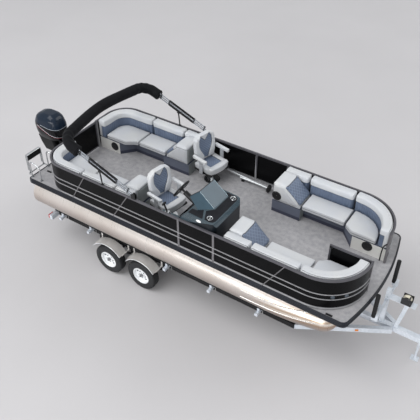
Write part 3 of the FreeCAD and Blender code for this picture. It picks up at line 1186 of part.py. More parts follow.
# bunks: a pair of carpeted boards under each tube, on brackets from the cross beams
CAP_SIDE = 45.0
CAP_THICK = 6.0
BRACKET_HALF = 25.0       # half width of a bracket's leg along the boat
LEG_SIDE = 6.0
HEEL_SIDE = 30.0
HEEL_THICK = 7.0
bunks = []
brackets = []
for tube_y in (-TUBE_Y, 0.0, TUBE_Y):
    for side in (-1, 1):
        board = block(BUNK_START, BUNK_END, -0.5 * BUNK_WIDTH, 0.5 * BUNK_WIDTH,
                      -TUBE_RADIUS - SEAT_GAP - BUNK_THICK, -TUBE_RADIUS - SEAT_GAP)
        board = turned(board, (0, 0, 0), (1, 0, 0), side * BUNK_ANGLE)
        bunks.append(moved(board, 0, tube_y, TUBE_CENTRE_Z))
        angle = math.radians(BUNK_ANGLE)
        reach = TUBE_RADIUS + BUNK_THICK + 2 * SEAT_GAP
        for x in STATIONS:
            cap = block(x - STATION_HALF, x + STATION_HALF, -CAP_SIDE, CAP_SIDE, -reach - CAP_THICK, -reach)
            cap = turned(cap, (0, 0, 0), (1, 0, 0), side * BUNK_ANGLE)
            cap = moved(cap, 0, tube_y, TUBE_CENTRE_Z)
            foot_y = tube_y + side * reach * math.sin(angle)
            foot_z = TUBE_CENTRE_Z - reach * math.cos(angle)
            leg = block(x - BRACKET_HALF, x + BRACKET_HALF, foot_y - LEG_SIDE, foot_y + LEG_SIDE,
                        BEAM_TOP + SEAT_GAP, foot_z - 4)
            heel = block(x - BRACKET_HALF, x + BRACKET_HALF, foot_y - HEEL_SIDE, foot_y + HEEL_SIDE,
                         BEAM_TOP + SEAT_GAP, BEAM_TOP + HEEL_THICK)
            brackets.append(fuse([cap, leg, heel]))
keep("bunks", bunks)
keep("bunk_brackets", brackets)

# axles, springs, wheels, fenders
AXLE_PAST = 85.0          # the axle tube goes this far past the rails
SPINDLE_PAST = 30.0       # and the spindle past the wheel's middle
LEAF_BENDS = (60.0, 150.0)               # the spring's bends, from the axle
LEAF_RISE = 32.0
LEAF_STACK = 42.0         # thickness of the stack at the axle
LEAF_TIP = 9.0
STAY_OUT = 20.0
STAY_IN = 14.0
STAY_THICK = 6.0
STAY_RISE = 2.0
axles = []
springs = []
fenders = []
for x in AXLES:
    axle_end = RAIL_Y + AXLE_PAST
    spindle_end = WHEEL_Y + SPINDLE_PAST
    tube = rod((x, -axle_end, TYRE_RADIUS), (x, axle_end, TYRE_RADIUS), AXLE_RADIUS)
    spindle = rod((x, -spindle_end, TYRE_RADIUS), (x, spindle_end, TYRE_RADIUS), SPINDLE_RADIUS)
    axles.append(fuse([tube, spindle]))
    for side in (-1, 1):
        y_pair = sorted((side * (RAIL_Y - HANGER_IN), side * (RAIL_Y + HANGER_IN)))
        low = TYRE_RADIUS + AXLE_RADIUS + SEAT_GAP
        fender_low = TYRE_RADIUS + FENDER_CUT
        near, mid = LEAF_BENDS
        high = low + LEAF_STACK
        mid_low = low + LEAF_RISE
        mid_high = high + 20
        leaf = side_prism([
            (x - SPRING_HALF, SPRING_EYE - LEAF_TIP), (x - mid, mid_low), (x - near, low), (x + near, low),
            (x + mid, mid_low), (x + SPRING_HALF, SPRING_EYE - LEAF_TIP),
            (x + SPRING_HALF, SPRING_EYE + LEAF_TIP), (x + mid, mid_high), (x + near, high),
            (x - near, high), (x - mid, mid_high), (x - SPRING_HALF, SPRING_EYE + LEAF_TIP),
        ], *y_pair)
        springs.append(leaf)
        inner = TYRE_RADIUS + FENDER_GAP
        arch = rod((x, side * (WHEEL_Y - 0.5 * FENDER_WIDTH), TYRE_RADIUS),
                   (x, side * (WHEEL_Y + 0.5 * FENDER_WIDTH), TYRE_RADIUS), inner + FENDER_THICK)
        arch = arch.cut(rod((x, side * (WHEEL_Y - FENDER_WIDTH), TYRE_RADIUS),
                            (x, side * (WHEEL_Y + FENDER_WIDTH), TYRE_RADIUS), inner))
        y_pair = sorted((side * (WHEEL_Y - FENDER_WIDTH), side * (WHEEL_Y + FENDER_WIDTH)))
        arch = arch.common(block(x - FAR, x + FAR, *y_pair, fender_low, DECK_TOP))
        stays = []
        for along in (-1, 1):
            end_x = x + along * math.sqrt((inner + FENDER_THICK) ** 2 - FENDER_CUT ** 2)
            x_pair = sorted((end_x - along * STAY_IN, end_x + along * STAY_OUT))
            rail_face = RAIL_Y + HALF_RAIL + SEAT_GAP
            stay_low = fender_low + STAY_RISE
            tread_pair = sorted((side * rail_face, side * (WHEEL_Y + 40)))
            stays.append(block(*x_pair, *tread_pair, stay_low, stay_low + STAY_THICK))
            plate_pair = sorted((side * rail_face, side * (RAIL_Y + HALF_RAIL + STAY_THICK)))
            stays.append(block(*x_pair, *plate_pair, stay_low, FRAME_HIGH - 10))
        fenders.append(fuse([arch] + stays))
keep("axles", axles)
keep("leaf_springs", springs)
keep("fenders", fenders)


TYRE_SHOULDER = 30.0      # radius of the tread's edges
SHOULDER_SAG = 0.3        # the middle of a shoulder's arc, as a share of its radius
BEAD_SIDE = 20.0          # the bead sits this far inside the tyre's wall
BEAD_HEIGHT = 35.0
RIM_EDGE = 18.0           # the rim ends this far inside the tyre's wall
RIM_WALL = 12.0
DISC_FACE = 22.0          # inner face of the disc, outboard of the wheel's middle
DISC_THICK = 10.0
WINDOWS = 5
WINDOW_RING = 132.0       # radius of the ring that the windows sit on
WINDOW_RADIUS = 23.0
LUG_RING = 84.0
LUG_RADIUS = 10.0
LUG_LENGTH = 24.0
HUB_RADIUS = 62.0
HUB_AFT = -30.0           # the hub's inboard face
HUB_LENGTH = 80.0
CAP_RADIUS = 38.0
CAP_LENGTH = 30.0
ACROSS = V(0, 1, 0)


def tyre(x, y):
    """Radial tyre: flat tread, rounded shoulders, upright walls."""
    w = 0.5 * TYRE_WIDTH
    bead = RIM_RADIUS + SEAT_GAP
    wall_low = RIM_RADIUS + BEAD_HEIGHT
    wall_high = TYRE_RADIUS - TYRE_SHOULDER
    outline = [
        V(0, -w + BEAD_SIDE, bead), V(0, -w, wall_low), V(0, -w, wall_high),
        V(0, -w + TYRE_SHOULDER, TYRE_RADIUS), V(0, w - TYRE_SHOULDER, TYRE_RADIUS),
        V(0, w, wall_high), V(0, w, wall_low), V(0, w - BEAD_SIDE, bead),
    ]
    sag = SHOULDER_SAG * TYRE_SHOULDER
    arcs = {2: V(0, -w + sag, TYRE_RADIUS - sag), 4: V(0, w - sag, TYRE_RADIUS - sag)}
    edges = []
    for index, start in enumerate(outline):
        end = outline[(index + 1) % len(outline)]
        if index in arcs:
            edges.append(Part.Arc(start, arcs[index], end).toShape())
        else:
            edges.append(Part.LineSegment(start, end).toShape())
    solid = Part.Face(Part.Wire(edges)).revolve(V(0, 0, 0), ACROSS, 360)
    return moved(solid, x, y, TYRE_RADIUS)


def around(radius, turn):
    """A point on a ring about the wheel's axle, at a share of a full turn."""
    angle = 2 * math.pi * turn
    return (radius * math.sin(angle), radius * math.cos(angle))


def road_wheel(x, y, side):
    """Pressed steel wheel: barrel, disc with five round windows, hub with its cap."""
    w = 0.5 * TYRE_WIDTH - RIM_EDGE
    barrel = Part.makeCylinder(RIM_RADIUS, 2 * w, V(0, -w, 0), ACROSS)
    barrel = barrel.cut(Part.makeCylinder(RIM_RADIUS - RIM_WALL, 4 * w, V(0, -2 * w, 0), ACROSS))
    disc = Part.makeCylinder(RIM_RADIUS - 0.5 * RIM_WALL, DISC_THICK, V(0, DISC_FACE, 0), ACROSS)
    lugs = []
    for index in range(WINDOWS):
        hole_x, hole_z = around(WINDOW_RING, index / WINDOWS)
        disc = disc.cut(Part.makeCylinder(WINDOW_RADIUS, 2 * DISC_FACE, V(hole_x, 0, hole_z), ACROSS))
        lug_x, lug_z = around(LUG_RING, (index + 0.5) / WINDOWS)
        lugs.append(Part.makeCylinder(LUG_RADIUS, LUG_LENGTH, V(lug_x, DISC_FACE + 8, lug_z), ACROSS))
    hub = Part.makeCylinder(HUB_RADIUS, HUB_LENGTH, V(0, HUB_AFT, 0), ACROSS)
    cap = Part.makeCylinder(CAP_RADIUS, CAP_LENGTH, V(0, HUB_AFT + HUB_LENGTH - 2, 0), ACROSS)
    wheel = fuse([barrel, disc, hub, cap] + lugs)
    wheel = wheel.cut(Part.makeCylinder(SPINDLE_RADIUS + PIN_GAP, 100, V(0, 2 * HUB_AFT, 0), ACROSS))
    if side < 0:
        wheel = turned(wheel, (0, 0, 0), (0, 0, 1), 180)
    return moved(wheel, x, y, TYRE_RADIUS)


WHEELS = (
    # name, x, side
    ("rear_starboard", AXLES[0], -1), ("front_starboard", AXLES[1], -1),
    ("rear_port", AXLES[0], 1), ("front_port", AXLES[1], 1),
)
for name, x, side in WHEELS:
    keep("tyre_" + name, [tyre(x, side * WHEEL_Y)])
    keep("wheel_" + name, [road_wheel(x, side * WHEEL_Y, side)])

# lights: two tail lights on the rear member and two ambers on the A-frame
AMBER_X = FRAME_JOIN - 550.0
AMBER_HALF = 30.0
AMBER_THICK = 14.0
AMBER_HALF_HEIGHT = 18.0
LAMP_THICK = 40.0
LAMP_WIDTH = 130.0
LAMP_EDGE = 5.0
LAMP_INSET = 15.0
lights = []
for side in (-1, 1):
    lamp_end = BEAM_HALF_SPAN - LAMP_EDGE
    y_pair = sorted((side * (lamp_end - LAMP_WIDTH), side * lamp_end))
    lights.append(block(FRAME_AFT - LAMP_THICK, FRAME_AFT - SEAT_GAP, *y_pair, FRAME_LOW + LAMP_INSET,
                        FRAME_HIGH - LAMP_INSET))
    amber = block(-AMBER_HALF, AMBER_HALF, 0, AMBER_THICK, -AMBER_HALF_HEIGHT, AMBER_HALF_HEIGHT)
    arm_angle = math.degrees(math.atan2(RAIL_Y - ARM_END_Y, FRAME_JOIN - FRAME_BEND))
    amber = moved(amber, 0, HALF_RAIL + SEAT_GAP, 0)
    amber = turned(amber, (0, 0, 0), (0, 0, 1), -arm_angle)
    amber = moved(amber, AMBER_X, RAIL_Y - math.tan(math.radians(arm_angle)) * (AMBER_X - FRAME_BEND),
                  0.5 * (FRAME_LOW + FRAME_HIGH))
    lights.append(amber if side > 0 else mirrored(amber))
keep("trailer_lights", lights)

# ------------------------------------------------------------ tongue
COUPLER_HALF = 48.0
COUPLER_LOW = FRAME_LOW + 5.0
BALL_DEPTH = 49.0         # depth of the socket from the coupler's underside
coupler = fuse([
    block(TONGUE_END + SEAT_GAP, COUPLER_X + 62, -COUPLER_HALF, COUPLER_HALF, COUPLER_LOW, FRAME_HIGH + 2),
    block(TONGUE_END - 120, TONGUE_END + 60, -40, 40, FRAME_HIGH + SEAT_GAP, FRAME_HIGH + 10),
    block(COUPLER_X - 90, COUPLER_X + 10, -12, 12, FRAME_HIGH, FRAME_HIGH + 40),
])
socket = Part.makeCylinder(BALL_RADIUS + BALL_SLACK, BALL_DEPTH + OVERLAP,
                           V(COUPLER_X, 0, COUPLER_LOW - OVERLAP))
keep("coupler", [coupler.cut(socket)])

JACK_SLEEVE_RADIUS = 28.0
JACK_LEG_RADIUS = 22.0
JACK_SLEEVE_LOW = 260.0
JACK_SLEEVE_TOP = jack_z + 295.0
JACK_FOOT_THICK = 14.0
CRANK_Z = jack_z + 245.0  # height of the crank's shaft
CRANK_Y = JACK_Y + 106.0  # plane of its arm
CRANK_DROP = 122.0        # from the shaft to the knob
CRANK_HALF = 6.0
KNOB_RADIUS = 13.0
KNOB_LENGTH = 84.0
jack = fuse([
    rod((JACK_X, JACK_Y - JACK_SWIVEL + SEAT_GAP, jack_z), (JACK_X, JACK_Y, jack_z), 34),
    rod((JACK_X, JACK_Y, JACK_SLEEVE_LOW), (JACK_X, JACK_Y, JACK_SLEEVE_TOP), JACK_SLEEVE_RADIUS),
    rod((JACK_X, JACK_Y, JACK_FOOT_THICK - 2), (JACK_X, JACK_Y, JACK_SLEEVE_LOW + 10), JACK_LEG_RADIUS),
    block(JACK_X - 75, JACK_X + 75, JACK_Y - 60, JACK_Y + 60, 0, JACK_FOOT_THICK),
    rod((JACK_X, JACK_Y + 20, CRANK_Z), (JACK_X, CRANK_Y + 4, CRANK_Z), 9),
    block(JACK_X - 8, JACK_X + 8, CRANK_Y - CRANK_HALF, CRANK_Y + CRANK_HALF, CRANK_Z - CRANK_DROP - 8,
          CRANK_Z + 8),
    rod((JACK_X, CRANK_Y, CRANK_Z - CRANK_DROP), (JACK_X, CRANK_Y + KNOB_LENGTH, CRANK_Z - CRANK_DROP),
        KNOB_RADIUS),
])
keep("tongue_jack", [jack])

# winch stand with the two padded bow posts that it carries
stand_low = FRAME_HIGH + SEAT_GAP
ARM_Z = BOW_POST_LOW + 40.0
ARM_AFT = BOW_POST_X + BOW_POST_RADIUS + SEAT_GAP
stand = [
    block(STAND_X - 38, STAND_X + 38, -38, 38, stand_low, STAND_HIGH),
    block(STAND_X, STAND_X + 515, -70, 70, WINCH_SHELF - 8, WINCH_SHELF),
    side_prism([(STAND_X + 335, WINCH_SHELF - 4), (STAND_X + 405, WINCH_SHELF - 4),
                (STAND_X + 305, stand_low), (STAND_X + 235, stand_low)], -30, 30),
    block(ARM_AFT, STAND_X + 30, -BOW_POST_Y, BOW_POST_Y, ARM_Z - 30, ARM_Z + 30),
]
for side in (-1, 1):
    y_pair = sorted((side * (BOW_POST_Y - 30), side * (BOW_POST_Y + 30)))
    stand.append(block(BOW_POST_X - 24, STAND_X + 30, *y_pair, BOW_POST_LOW - 70, BOW_POST_LOW - SEAT_GAP))
    stand.append(block(ARM_AFT, STAND_X + 30, *y_pair, BOW_POST_LOW - 70, ARM_Z + 30))
keep("winch_stand", [fuse(stand)])
posts = [rod((BOW_POST_X, side * BOW_POST_Y, BOW_POST_LOW), (BOW_POST_X, side * BOW_POST_Y, BOW_POST_HIGH),
             BOW_POST_RADIUS) for side in (-1, 1)]
keep("bow_posts", posts)

# hand winch: a bent cradle, the strap's drum, and a crank on its own shaft
WINCH_SIDE = 70.0
WINCH_WALL = 6.0
WINCH_HALF = 90.0
DRUM_RADIUS = 55.0
HANDLE_Y = -122.0         # outer face of the crank's arm
HANDLE_RISE = 180.0
HANDLE_END = -210.0
winch_x = STAND_X + 335.0
winch_z = WINCH_SHELF + 95.0
handle_x = winch_x + 60.0
cradle_aft = winch_x - WINCH_HALF
cradle_fore = winch_x + WINCH_HALF
cradle_low = WINCH_SHELF + SEAT_GAP
wall_in = WINCH_SIDE - WINCH_WALL
winch = fuse([
    block(cradle_aft, cradle_fore, -WINCH_SIDE, -wall_in, cradle_low, winch_z + DRUM_RADIUS),
    block(cradle_aft, cradle_fore, wall_in, WINCH_SIDE, cradle_low, winch_z + DRUM_RADIUS),
    block(cradle_aft, cradle_fore, -WINCH_SIDE, WINCH_SIDE, cradle_low, WINCH_SHELF + 8),
    rod((winch_x, -wall_in - 2, winch_z), (winch_x, wall_in + 2, winch_z), DRUM_RADIUS),
    rod((handle_x, HANDLE_Y + 12, winch_z), (handle_x, wall_in + 2, winch_z), 14),
    block(handle_x - 10, handle_x + 10, HANDLE_Y, HANDLE_Y + 14, winch_z - 10, winch_z + HANDLE_RISE + 10),
    rod((handle_x, HANDLE_Y + 10, winch_z + HANDLE_RISE), (handle_x, HANDLE_END, winch_z + HANDLE_RISE), 15),
])
keep("winch", [winch])

# ------------------------------------------------------------ one frame, then the files
whole = Part.makeCompound(list(parts.values()))
box = whole.optimalBoundingBox(False, False)
SHIFT = V(-0.5 * (box.XMin + box.XMax), 0, 0)
for node, shape in parts.items():
    shape.translate(SHIFT)
    shape.exportStep("parts/" + node + ".step")
print("x shift", SHIFT.x, "box", box)
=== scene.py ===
"""The looks of a three-tube pontoon boat on its tandem-axle trailer.

Metres.  Places along the boat are distances ahead of the stern edge of the
deck, and places above it are heights over the floor.
"""

import math

import bmesh
import bpy
from mathutils import Matrix, Vector


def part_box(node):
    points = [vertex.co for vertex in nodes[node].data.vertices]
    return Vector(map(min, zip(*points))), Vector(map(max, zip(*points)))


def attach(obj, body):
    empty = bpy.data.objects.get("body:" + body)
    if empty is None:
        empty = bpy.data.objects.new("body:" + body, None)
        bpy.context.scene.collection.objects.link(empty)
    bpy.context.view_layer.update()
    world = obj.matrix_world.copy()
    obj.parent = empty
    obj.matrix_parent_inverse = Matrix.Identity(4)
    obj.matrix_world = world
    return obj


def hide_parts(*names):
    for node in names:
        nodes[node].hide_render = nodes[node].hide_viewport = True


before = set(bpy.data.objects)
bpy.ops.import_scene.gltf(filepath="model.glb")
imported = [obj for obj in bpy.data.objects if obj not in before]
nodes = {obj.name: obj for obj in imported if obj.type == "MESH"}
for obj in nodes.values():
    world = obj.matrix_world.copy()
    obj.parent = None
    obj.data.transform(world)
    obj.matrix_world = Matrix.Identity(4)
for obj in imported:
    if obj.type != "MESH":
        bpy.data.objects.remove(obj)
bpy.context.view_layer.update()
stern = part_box("deck_trim")[0][0]
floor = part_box("deck")[1][2]

# ---------------------------------------------------------------- trailer frame
# The trailer is a bolted ladder of welded box beams with an A-frame tongue.
# Mild steel, hot-dip galvanised after drilling, so every member carries the
# same grey zinc with pale spangles the size of a thumbnail.


def linear(code):
    """An sRGB hex colour as linear red, green, blue and alpha."""
    parts = [int(code[i:i + 2], 16) / 255 for i in (1, 3, 5)]
    return [c / 12.92 if c <= 0.04045 else ((c + 0.055) / 1.055) ** 2.4 for c in parts] + [1.0]


def add_node(tree, kind, settings=None, links=None):
    """One shader node.  Settings are its sockets or attributes, links what feeds its sockets."""
    node = tree.nodes.new(kind)
    for key, value in (settings or {}).items():
        if key == "stops":
            ramp = node.color_ramp
            while len(ramp.elements) < len(value):
                ramp.elements.new(1.0)
            for element, (place, colour) in zip(ramp.elements, value):
                element.position = place
                element.color = linear(colour)
        elif isinstance(key, int) or key in node.inputs:
            node.inputs[key].default_value = value
        else:
            setattr(node, key, value)
    for key, source in (links or {}).items():
        tree.links.new(source, node.inputs[key])
    return node


def surface(name, colour, drift, patch, roughness, metallic=0.0, grain=3.0, bump=0.15, spread=0.12,
            coat=0.0, mirror=0.5):
    """A finish whose colour drifts between two hexes over patches of that many millimetres,
    with a finer grain, also in millimetres, in its roughness and relief."""
    material = bpy.data.materials.new(name)
    material.use_nodes = True
    tree = material.node_tree
    shader = tree.nodes["Principled BSDF"]
    shader.inputs["Metallic"].default_value = metallic
    shader.inputs["Specular IOR Level"].default_value = mirror
    shader.inputs["Coat Weight"].default_value = coat
    shader.inputs["Coat Roughness"].default_value = 0.08
    place = add_node(tree, "ShaderNodeTexCoord").outputs["Object"]
    cloud = add_node(tree, "ShaderNodeTexNoise", {"Scale": 1000 / patch, "Detail": 4.0}, {"Vector": place})
    blend = add_node(tree, "ShaderNodeValToRGB", {"stops": [(0.3, colour), (0.72, drift)]},
                     {"Fac": cloud.outputs[0]})
    tree.links.new(blend.outputs[0], shader.inputs["Base Color"])
    fine = add_node(tree, "ShaderNodeTexNoise", {"Scale": 1000 / grain, "Detail": 3.0}, {"Vector": place})
    low, high = max(roughness - spread, 0.02), min(roughness + spread, 1.0)
    rough = add_node(tree, "ShaderNodeMapRange", {"To Min": low, "To Max": high}, {"Value": fine.outputs[0]})
    tree.links.new(rough.outputs[0], shader.inputs["Roughness"])
    relief = add_node(tree, "ShaderNodeBump", {"Strength": bump, "Distance": 0.0006},
                      {"Height": fine.outputs[0]})
    tree.links.new(relief.outputs[0], shader.inputs["Normal"])
    return {"material": material, "tree": tree, "shader": shader, "place": place,
            "colour": blend.outputs[0], "relief": relief.outputs[0]}


def maths(item, operation, *terms):
    """One sum in a finish's nodes.  Each term is a number or another node's result."""
    numbers = {slot: term for slot, term in enumerate(terms) if isinstance(term, (int, float))}
    results = {slot: term for slot, term in enumerate(terms) if slot not in numbers}
    return add_node(item["tree"], "ShaderNodeMath", {"operation": operation, **numbers}, results).outputs[0]


def between(item, source, start, end, low=0.0, high=1.0):
    """A value that runs from low to high while its source runs from start to end."""
    limits = {"From Min": start, "From Max": end, "To Min": low, "To Max": high}
    return add_node(item["tree"], "ShaderNodeMapRange", limits, {"Value": source}).outputs[0]


def tones(item, source, *stops):
    """A colour read off hex stops along a value."""
    return add_node(item["tree"], "ShaderNodeValToRGB", {"stops": stops}, {"Fac": source}).outputs[0]


def noise(item, scale, detail=2.0, place=None):
    """A cloudy value, so many lumps to the metre."""
    return add_node(item["tree"], "ShaderNodeTexNoise", {"Scale": scale, "Detail": detail},
                    {"Vector": place or item["place"]}).outputs[0]


def along(item):
    """A finish's place split into X, Y and Z."""
    return add_node(item["tree"], "ShaderNodeSeparateXYZ", links={"Vector": item["place"]}).outputs


def mixed(item, share, first, second, mode="MIX"):
    """A share of the second colour over the first.  Colours are hexes or results."""
    settings, links = {"data_type": "RGBA", "blend_type": mode}, {}
    for slot, term in ((0, share), (6, first), (7, second)):
        if isinstance(term, (str, float)):
            settings[slot] = linear(term) if isinstance(term, str) else term
        else:
            links[slot] = term
    return add_node(item["tree"], "ShaderNodeMix", settings, links).outputs[2]


def wire(item, socket, result):
    """Feed one of the finish's own inputs."""
    item["tree"].links.new(result, item["shader"].inputs[socket])


def emboss(item, height, strength, distance):
    """Raise a height over the finish's own grain."""
    bump = add_node(item["tree"], "ShaderNodeBump", {"Strength": strength, "Distance": distance},
                    {"Height": height, "Normal": item["relief"]})
    wire(item, "Normal", bump.outputs[0])


def finish_node(node, *finishes, choose=None):
    """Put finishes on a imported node, and choose which one each of its faces takes."""
    mesh = nodes[node].data
    mesh.materials.clear()
    for item in finishes:
        mesh.materials.append(item["material"])
    for face in mesh.polygons:
        face.material_index = choose(face.center, face.normal) if choose else 0


# zinc: spangles about 18 mm across, drawn twice real size so that they read
zinc = surface("galvanised steel", "#CBD2DA", "#DFE4EB", 240, 0.4, metallic=0.15, grain=6, bump=0.1)
cells = add_node(zinc["tree"], "ShaderNodeTexVoronoi", {"Scale": 28.0, "feature": "F1"},
                 {"Vector": zinc["place"]})
flake = tones(zinc, cells.outputs["Color"], (0.0, "#A9B1BA"), (1.0, "#DFE4EA"))
wire(zinc, "Base Color", mixed(zinc, 0.35, zinc["colour"], flake))
for part in ("coupler", "tongue_jack", "winch_stand"):
    finish_node(part, zinc)
# the long faces of the two side rails are black
black_rail_faces = surface("black rail faces", "#0B0B0D", "#141517", 200, 0.5, grain=3, mirror=0.3)
spring_past_rail = 0.0237
rail_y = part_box("leaf_springs")[1][1] - spring_past_rail
rail_half = 0.038
rail_end = stern + 6.0


def rail_finish(m, n):
    """Black on the long faces of the two side rails, zinc elsewhere."""
    on_rail = abs(abs(m.y) - rail_y) < rail_half + 0.002 and m.x < rail_end
    return 1 if on_rail and not 0.01 < abs(n.x) < 0.99 else 0


finish_node("trailer_frame", zinc, black_rail_faces, choose=rail_finish)


def alone(piece):
    """Make one piece the active one and the only one selected."""
    bpy.ops.object.select_all(action="DESELECT")
    bpy.context.view_layer.objects.active = piece
    piece.select_set(True)


def edit():
    """Enter edit mode with the whole mesh selected."""
    bpy.ops.object.mode_set(mode="EDIT")
    bpy.ops.mesh.select_all(action="SELECT")


def leave():
    """Leave edit mode."""
    bpy.ops.object.mode_set(mode="OBJECT")


def begin(name, add, **size):
    """Add a primitive at its place with nothing else selected, and settle its size into its mesh."""
    if bpy.context.object and bpy.context.object.mode != "OBJECT":
        leave()
    bpy.ops.object.select_all(action="DESELECT")
    add(**size)
    piece = bpy.context.object
    piece.name = name
    bpy.ops.object.transform_apply(location=True, rotation=True, scale=True)
    return piece


def pick(kind, test):
    """In edit mode, select only the faces or edges whose middle and normal, or direction, pass the test."""
    bpy.ops.mesh.select_all(action="DESELECT")
    bpy.ops.mesh.select_mode(type=kind)
    shape = bmesh.from_edit_mesh(bpy.context.object.data)
    for item in (shape.faces if kind == "FACE" else shape.edges):
        if kind == "FACE":
            item.select_set(test(item.calc_center_median(), item.normal))
        else:
            a, b = item.verts
            item.select_set(test(0.5 * (a.co + b.co), (b.co - a.co).normalized()))
    bmesh.update_edit_mesh(bpy.context.object.data)


def block(name, low, high, edge):
    """A bar or plate with rounded edges between two corners."""
    low, high = Vector(low), Vector(high)
    piece = begin(name, bpy.ops.mesh.primitive_cube_add, size=1.0, location=0.5 * (low + high),
                  scale=high - low)
    edit()
    bpy.ops.mesh.bevel(offset=edge, segments=2, affect="EDGES")
    leave()
    return piece


def drawn(name, corners):
    """One point extruded from corner to corner, left in edit mode with all of it selected."""
    piece = begin(name, bpy.ops.mesh.primitive_plane_add, size=0.01)
    bpy.ops.object.mode_set(mode="EDIT")
    bpy.ops.mesh.select_mode(type="VERT")
    bpy.ops.mesh.select_all(action="SELECT")
    bpy.ops.mesh.merge(type="CENTER")
    bpy.ops.transform.translate(value=corners[0])
    for start, end in zip(corners, corners[1:]):
        step = tuple(b - a for a, b in zip(start, end))
        bpy.ops.mesh.extrude_region_move(TRANSFORM_OT_translate={"value": step})
    bpy.ops.mesh.select_all(action="SELECT")
    return piece


def spun(name, outline, centre, axis, steps=40):
    """A turned piece: its outline of (along, radius) points spun and set on its axis."""
    piece = drawn(name, [(a, 0, r) for a, r in outline])
    bpy.ops.mesh.spin(steps=steps, angle=2 * math.pi, center=(0, 0, 0), axis=(1, 0, 0))
    bpy.ops.mesh.select_all(action="SELECT")
    bpy.ops.mesh.remove_doubles(threshold=0.00004)
    bpy.ops.mesh.normals_make_consistent(inside=False)
    leave()
    turn = Vector((1, 0, 0)).rotation_difference(Vector(axis)).to_matrix().to_4x4()
    piece.data.transform(Matrix.Translation(centre) @ turn)
    return piece


def bent(name, points, radius, closed=False, sides=3, tight=True):
    """A round bar or cord bent through points: straight runs, or one smooth run if not tight."""
    curve = bpy.data.curves.new(name, "CURVE")
    curve.dimensions = "3D"
    curve.bevel_depth = radius
    curve.bevel_resolution = sides
    curve.use_fill_caps = True
    run = curve.splines.new("POLY" if tight else "NURBS")
    run.points.add(len(points) - 1)
    for spot, point in zip(run.points, points):
        spot.co = (*point, 1)
    run.use_cyclic_u = closed
    if not tight:
        run.order_u = 3
        run.use_endpoint_u = not closed
        curve.resolution_u = 8
    piece = bpy.data.objects.new(name, curve)
    bpy.context.collection.objects.link(piece)
    alone(piece)
    bpy.ops.object.convert(target="MESH")
    return bpy.context.object


def copied(piece, name, matrix):
    """A copy with a mesh of its own, moved by a matrix and turned right side out if that mirrors it."""
    twin = piece.copy()
    twin.data = piece.data.copy()
    twin.name = name
    twin.data.transform(matrix)
    if matrix.determinant() < 0:
        twin.data.flip_normals()
    bpy.context.collection.objects.link(twin)
    return twin


def join(name, pieces):
    """Several meshes as one piece."""
    bpy.ops.object.select_all(action="DESELECT")
    for item in pieces:
        item.select_set(True)
    bpy.context.view_layer.objects.active = pieces[0]
    bpy.ops.object.join()
    pieces[0].name = name
    return pieces[0]


def fit(piece, item, body, smooth=40):
    """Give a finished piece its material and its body."""
    if item:
        piece.data.materials.clear()
        piece.data.materials.append(item["material"])
    alone(piece)
    bpy.ops.object.shade_smooth_by_angle(angle=math.radians(smooth))
    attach(piece, body)
    return piece


MIRROR = Matrix.Scale(-1, 4, (0, 1, 0))


def pair(name, pieces, item):
    """Join port pieces that don't move, finish them and set their mirrored twin to starboard."""
    port = fit(join(name + "_port", pieces), item, "root")
    fit(copied(port, name + "_starboard", MIRROR), None, "root")


# square U-bolts that clamp the beams to the rails, two at each crossing
bolt_low, bolt_high, bolt_half = 0.635, 0.832, 0.046
bolts = []
for ahead in (0.6, 1.4, 3.4, 4.45, 5.5):
    for offset in (-0.036, 0.036):
        x = stern + ahead + offset
        inner, outer = rail_y - bolt_half, rail_y + bolt_half
        bolts.append(bent("bolt", [(x, inner, bolt_low), (x, inner, bolt_high), (x, outer, bolt_high),
                                   (x, outer, bolt_low)], 0.006, sides=2))
zinc_bright = surface("zinc plated bolts", "#B9BBBA", "#D2D3D1", 60, 0.3, metallic=0.8, grain=2)
pair("frame_u_bolts", bolts, zinc_bright)

# ---------------------------------------------------------------- running gear
# Two straight tube axles on leaf springs, black stove enamel on forged and
# drawn steel, and rolled aluminium fenders with a bright turned edge.
enamel = surface("black axle enamel", "#121315", "#1D1F21", 90, 0.4, grain=4, mirror=0.35)
finish_node("axles", enamel)
finish_node("leaf_springs", enamel)
mill = surface("rolled aluminium sheet", "#D2CFCB", "#E2DFDC", 160, 0.36, metallic=0.3, grain=5)
finish_node("fenders", mill)

# bright rolled rims on the outer edge of each fender, over the tyre
wheel_names = ("rear_starboard", "front_starboard", "rear_port", "front_port")
fender_gap = 0.0925
rim_end_height = 0.262    # of the rim's ends over the axle
tyre_low, tyre_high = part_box("tyre_rear_starboard")
tyre_r = 0.5 * (tyre_high[2] - tyre_low[2])
rim_paint = surface("bright fender edge", "#E6E8E9", "#D5D8DA", 120, 0.22, metallic=0.35, grain=3)
arch_r = tyre_r + fender_gap
reach = math.acos(rim_end_height / arch_r)
for name in wheel_names:
    low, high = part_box("tyre_" + name)
    x, z = 0.5 * (low[0] + high[0]), 0.5 * (low[2] + high[2])
    side = -1 if low[1] < 0 else 1
    y = side * (max(abs(low[1]), abs(high[1])) + 0.009)
    turns = [reach * (step / 14 - 1) for step in range(29)]
    arch = [(x + arch_r * math.sin(a), y, z + arch_r * math.cos(a)) for a in turns]
    rim = bent("fender_edge_" + name, arch, 0.009)
    fit(rim, rim_paint, "root")

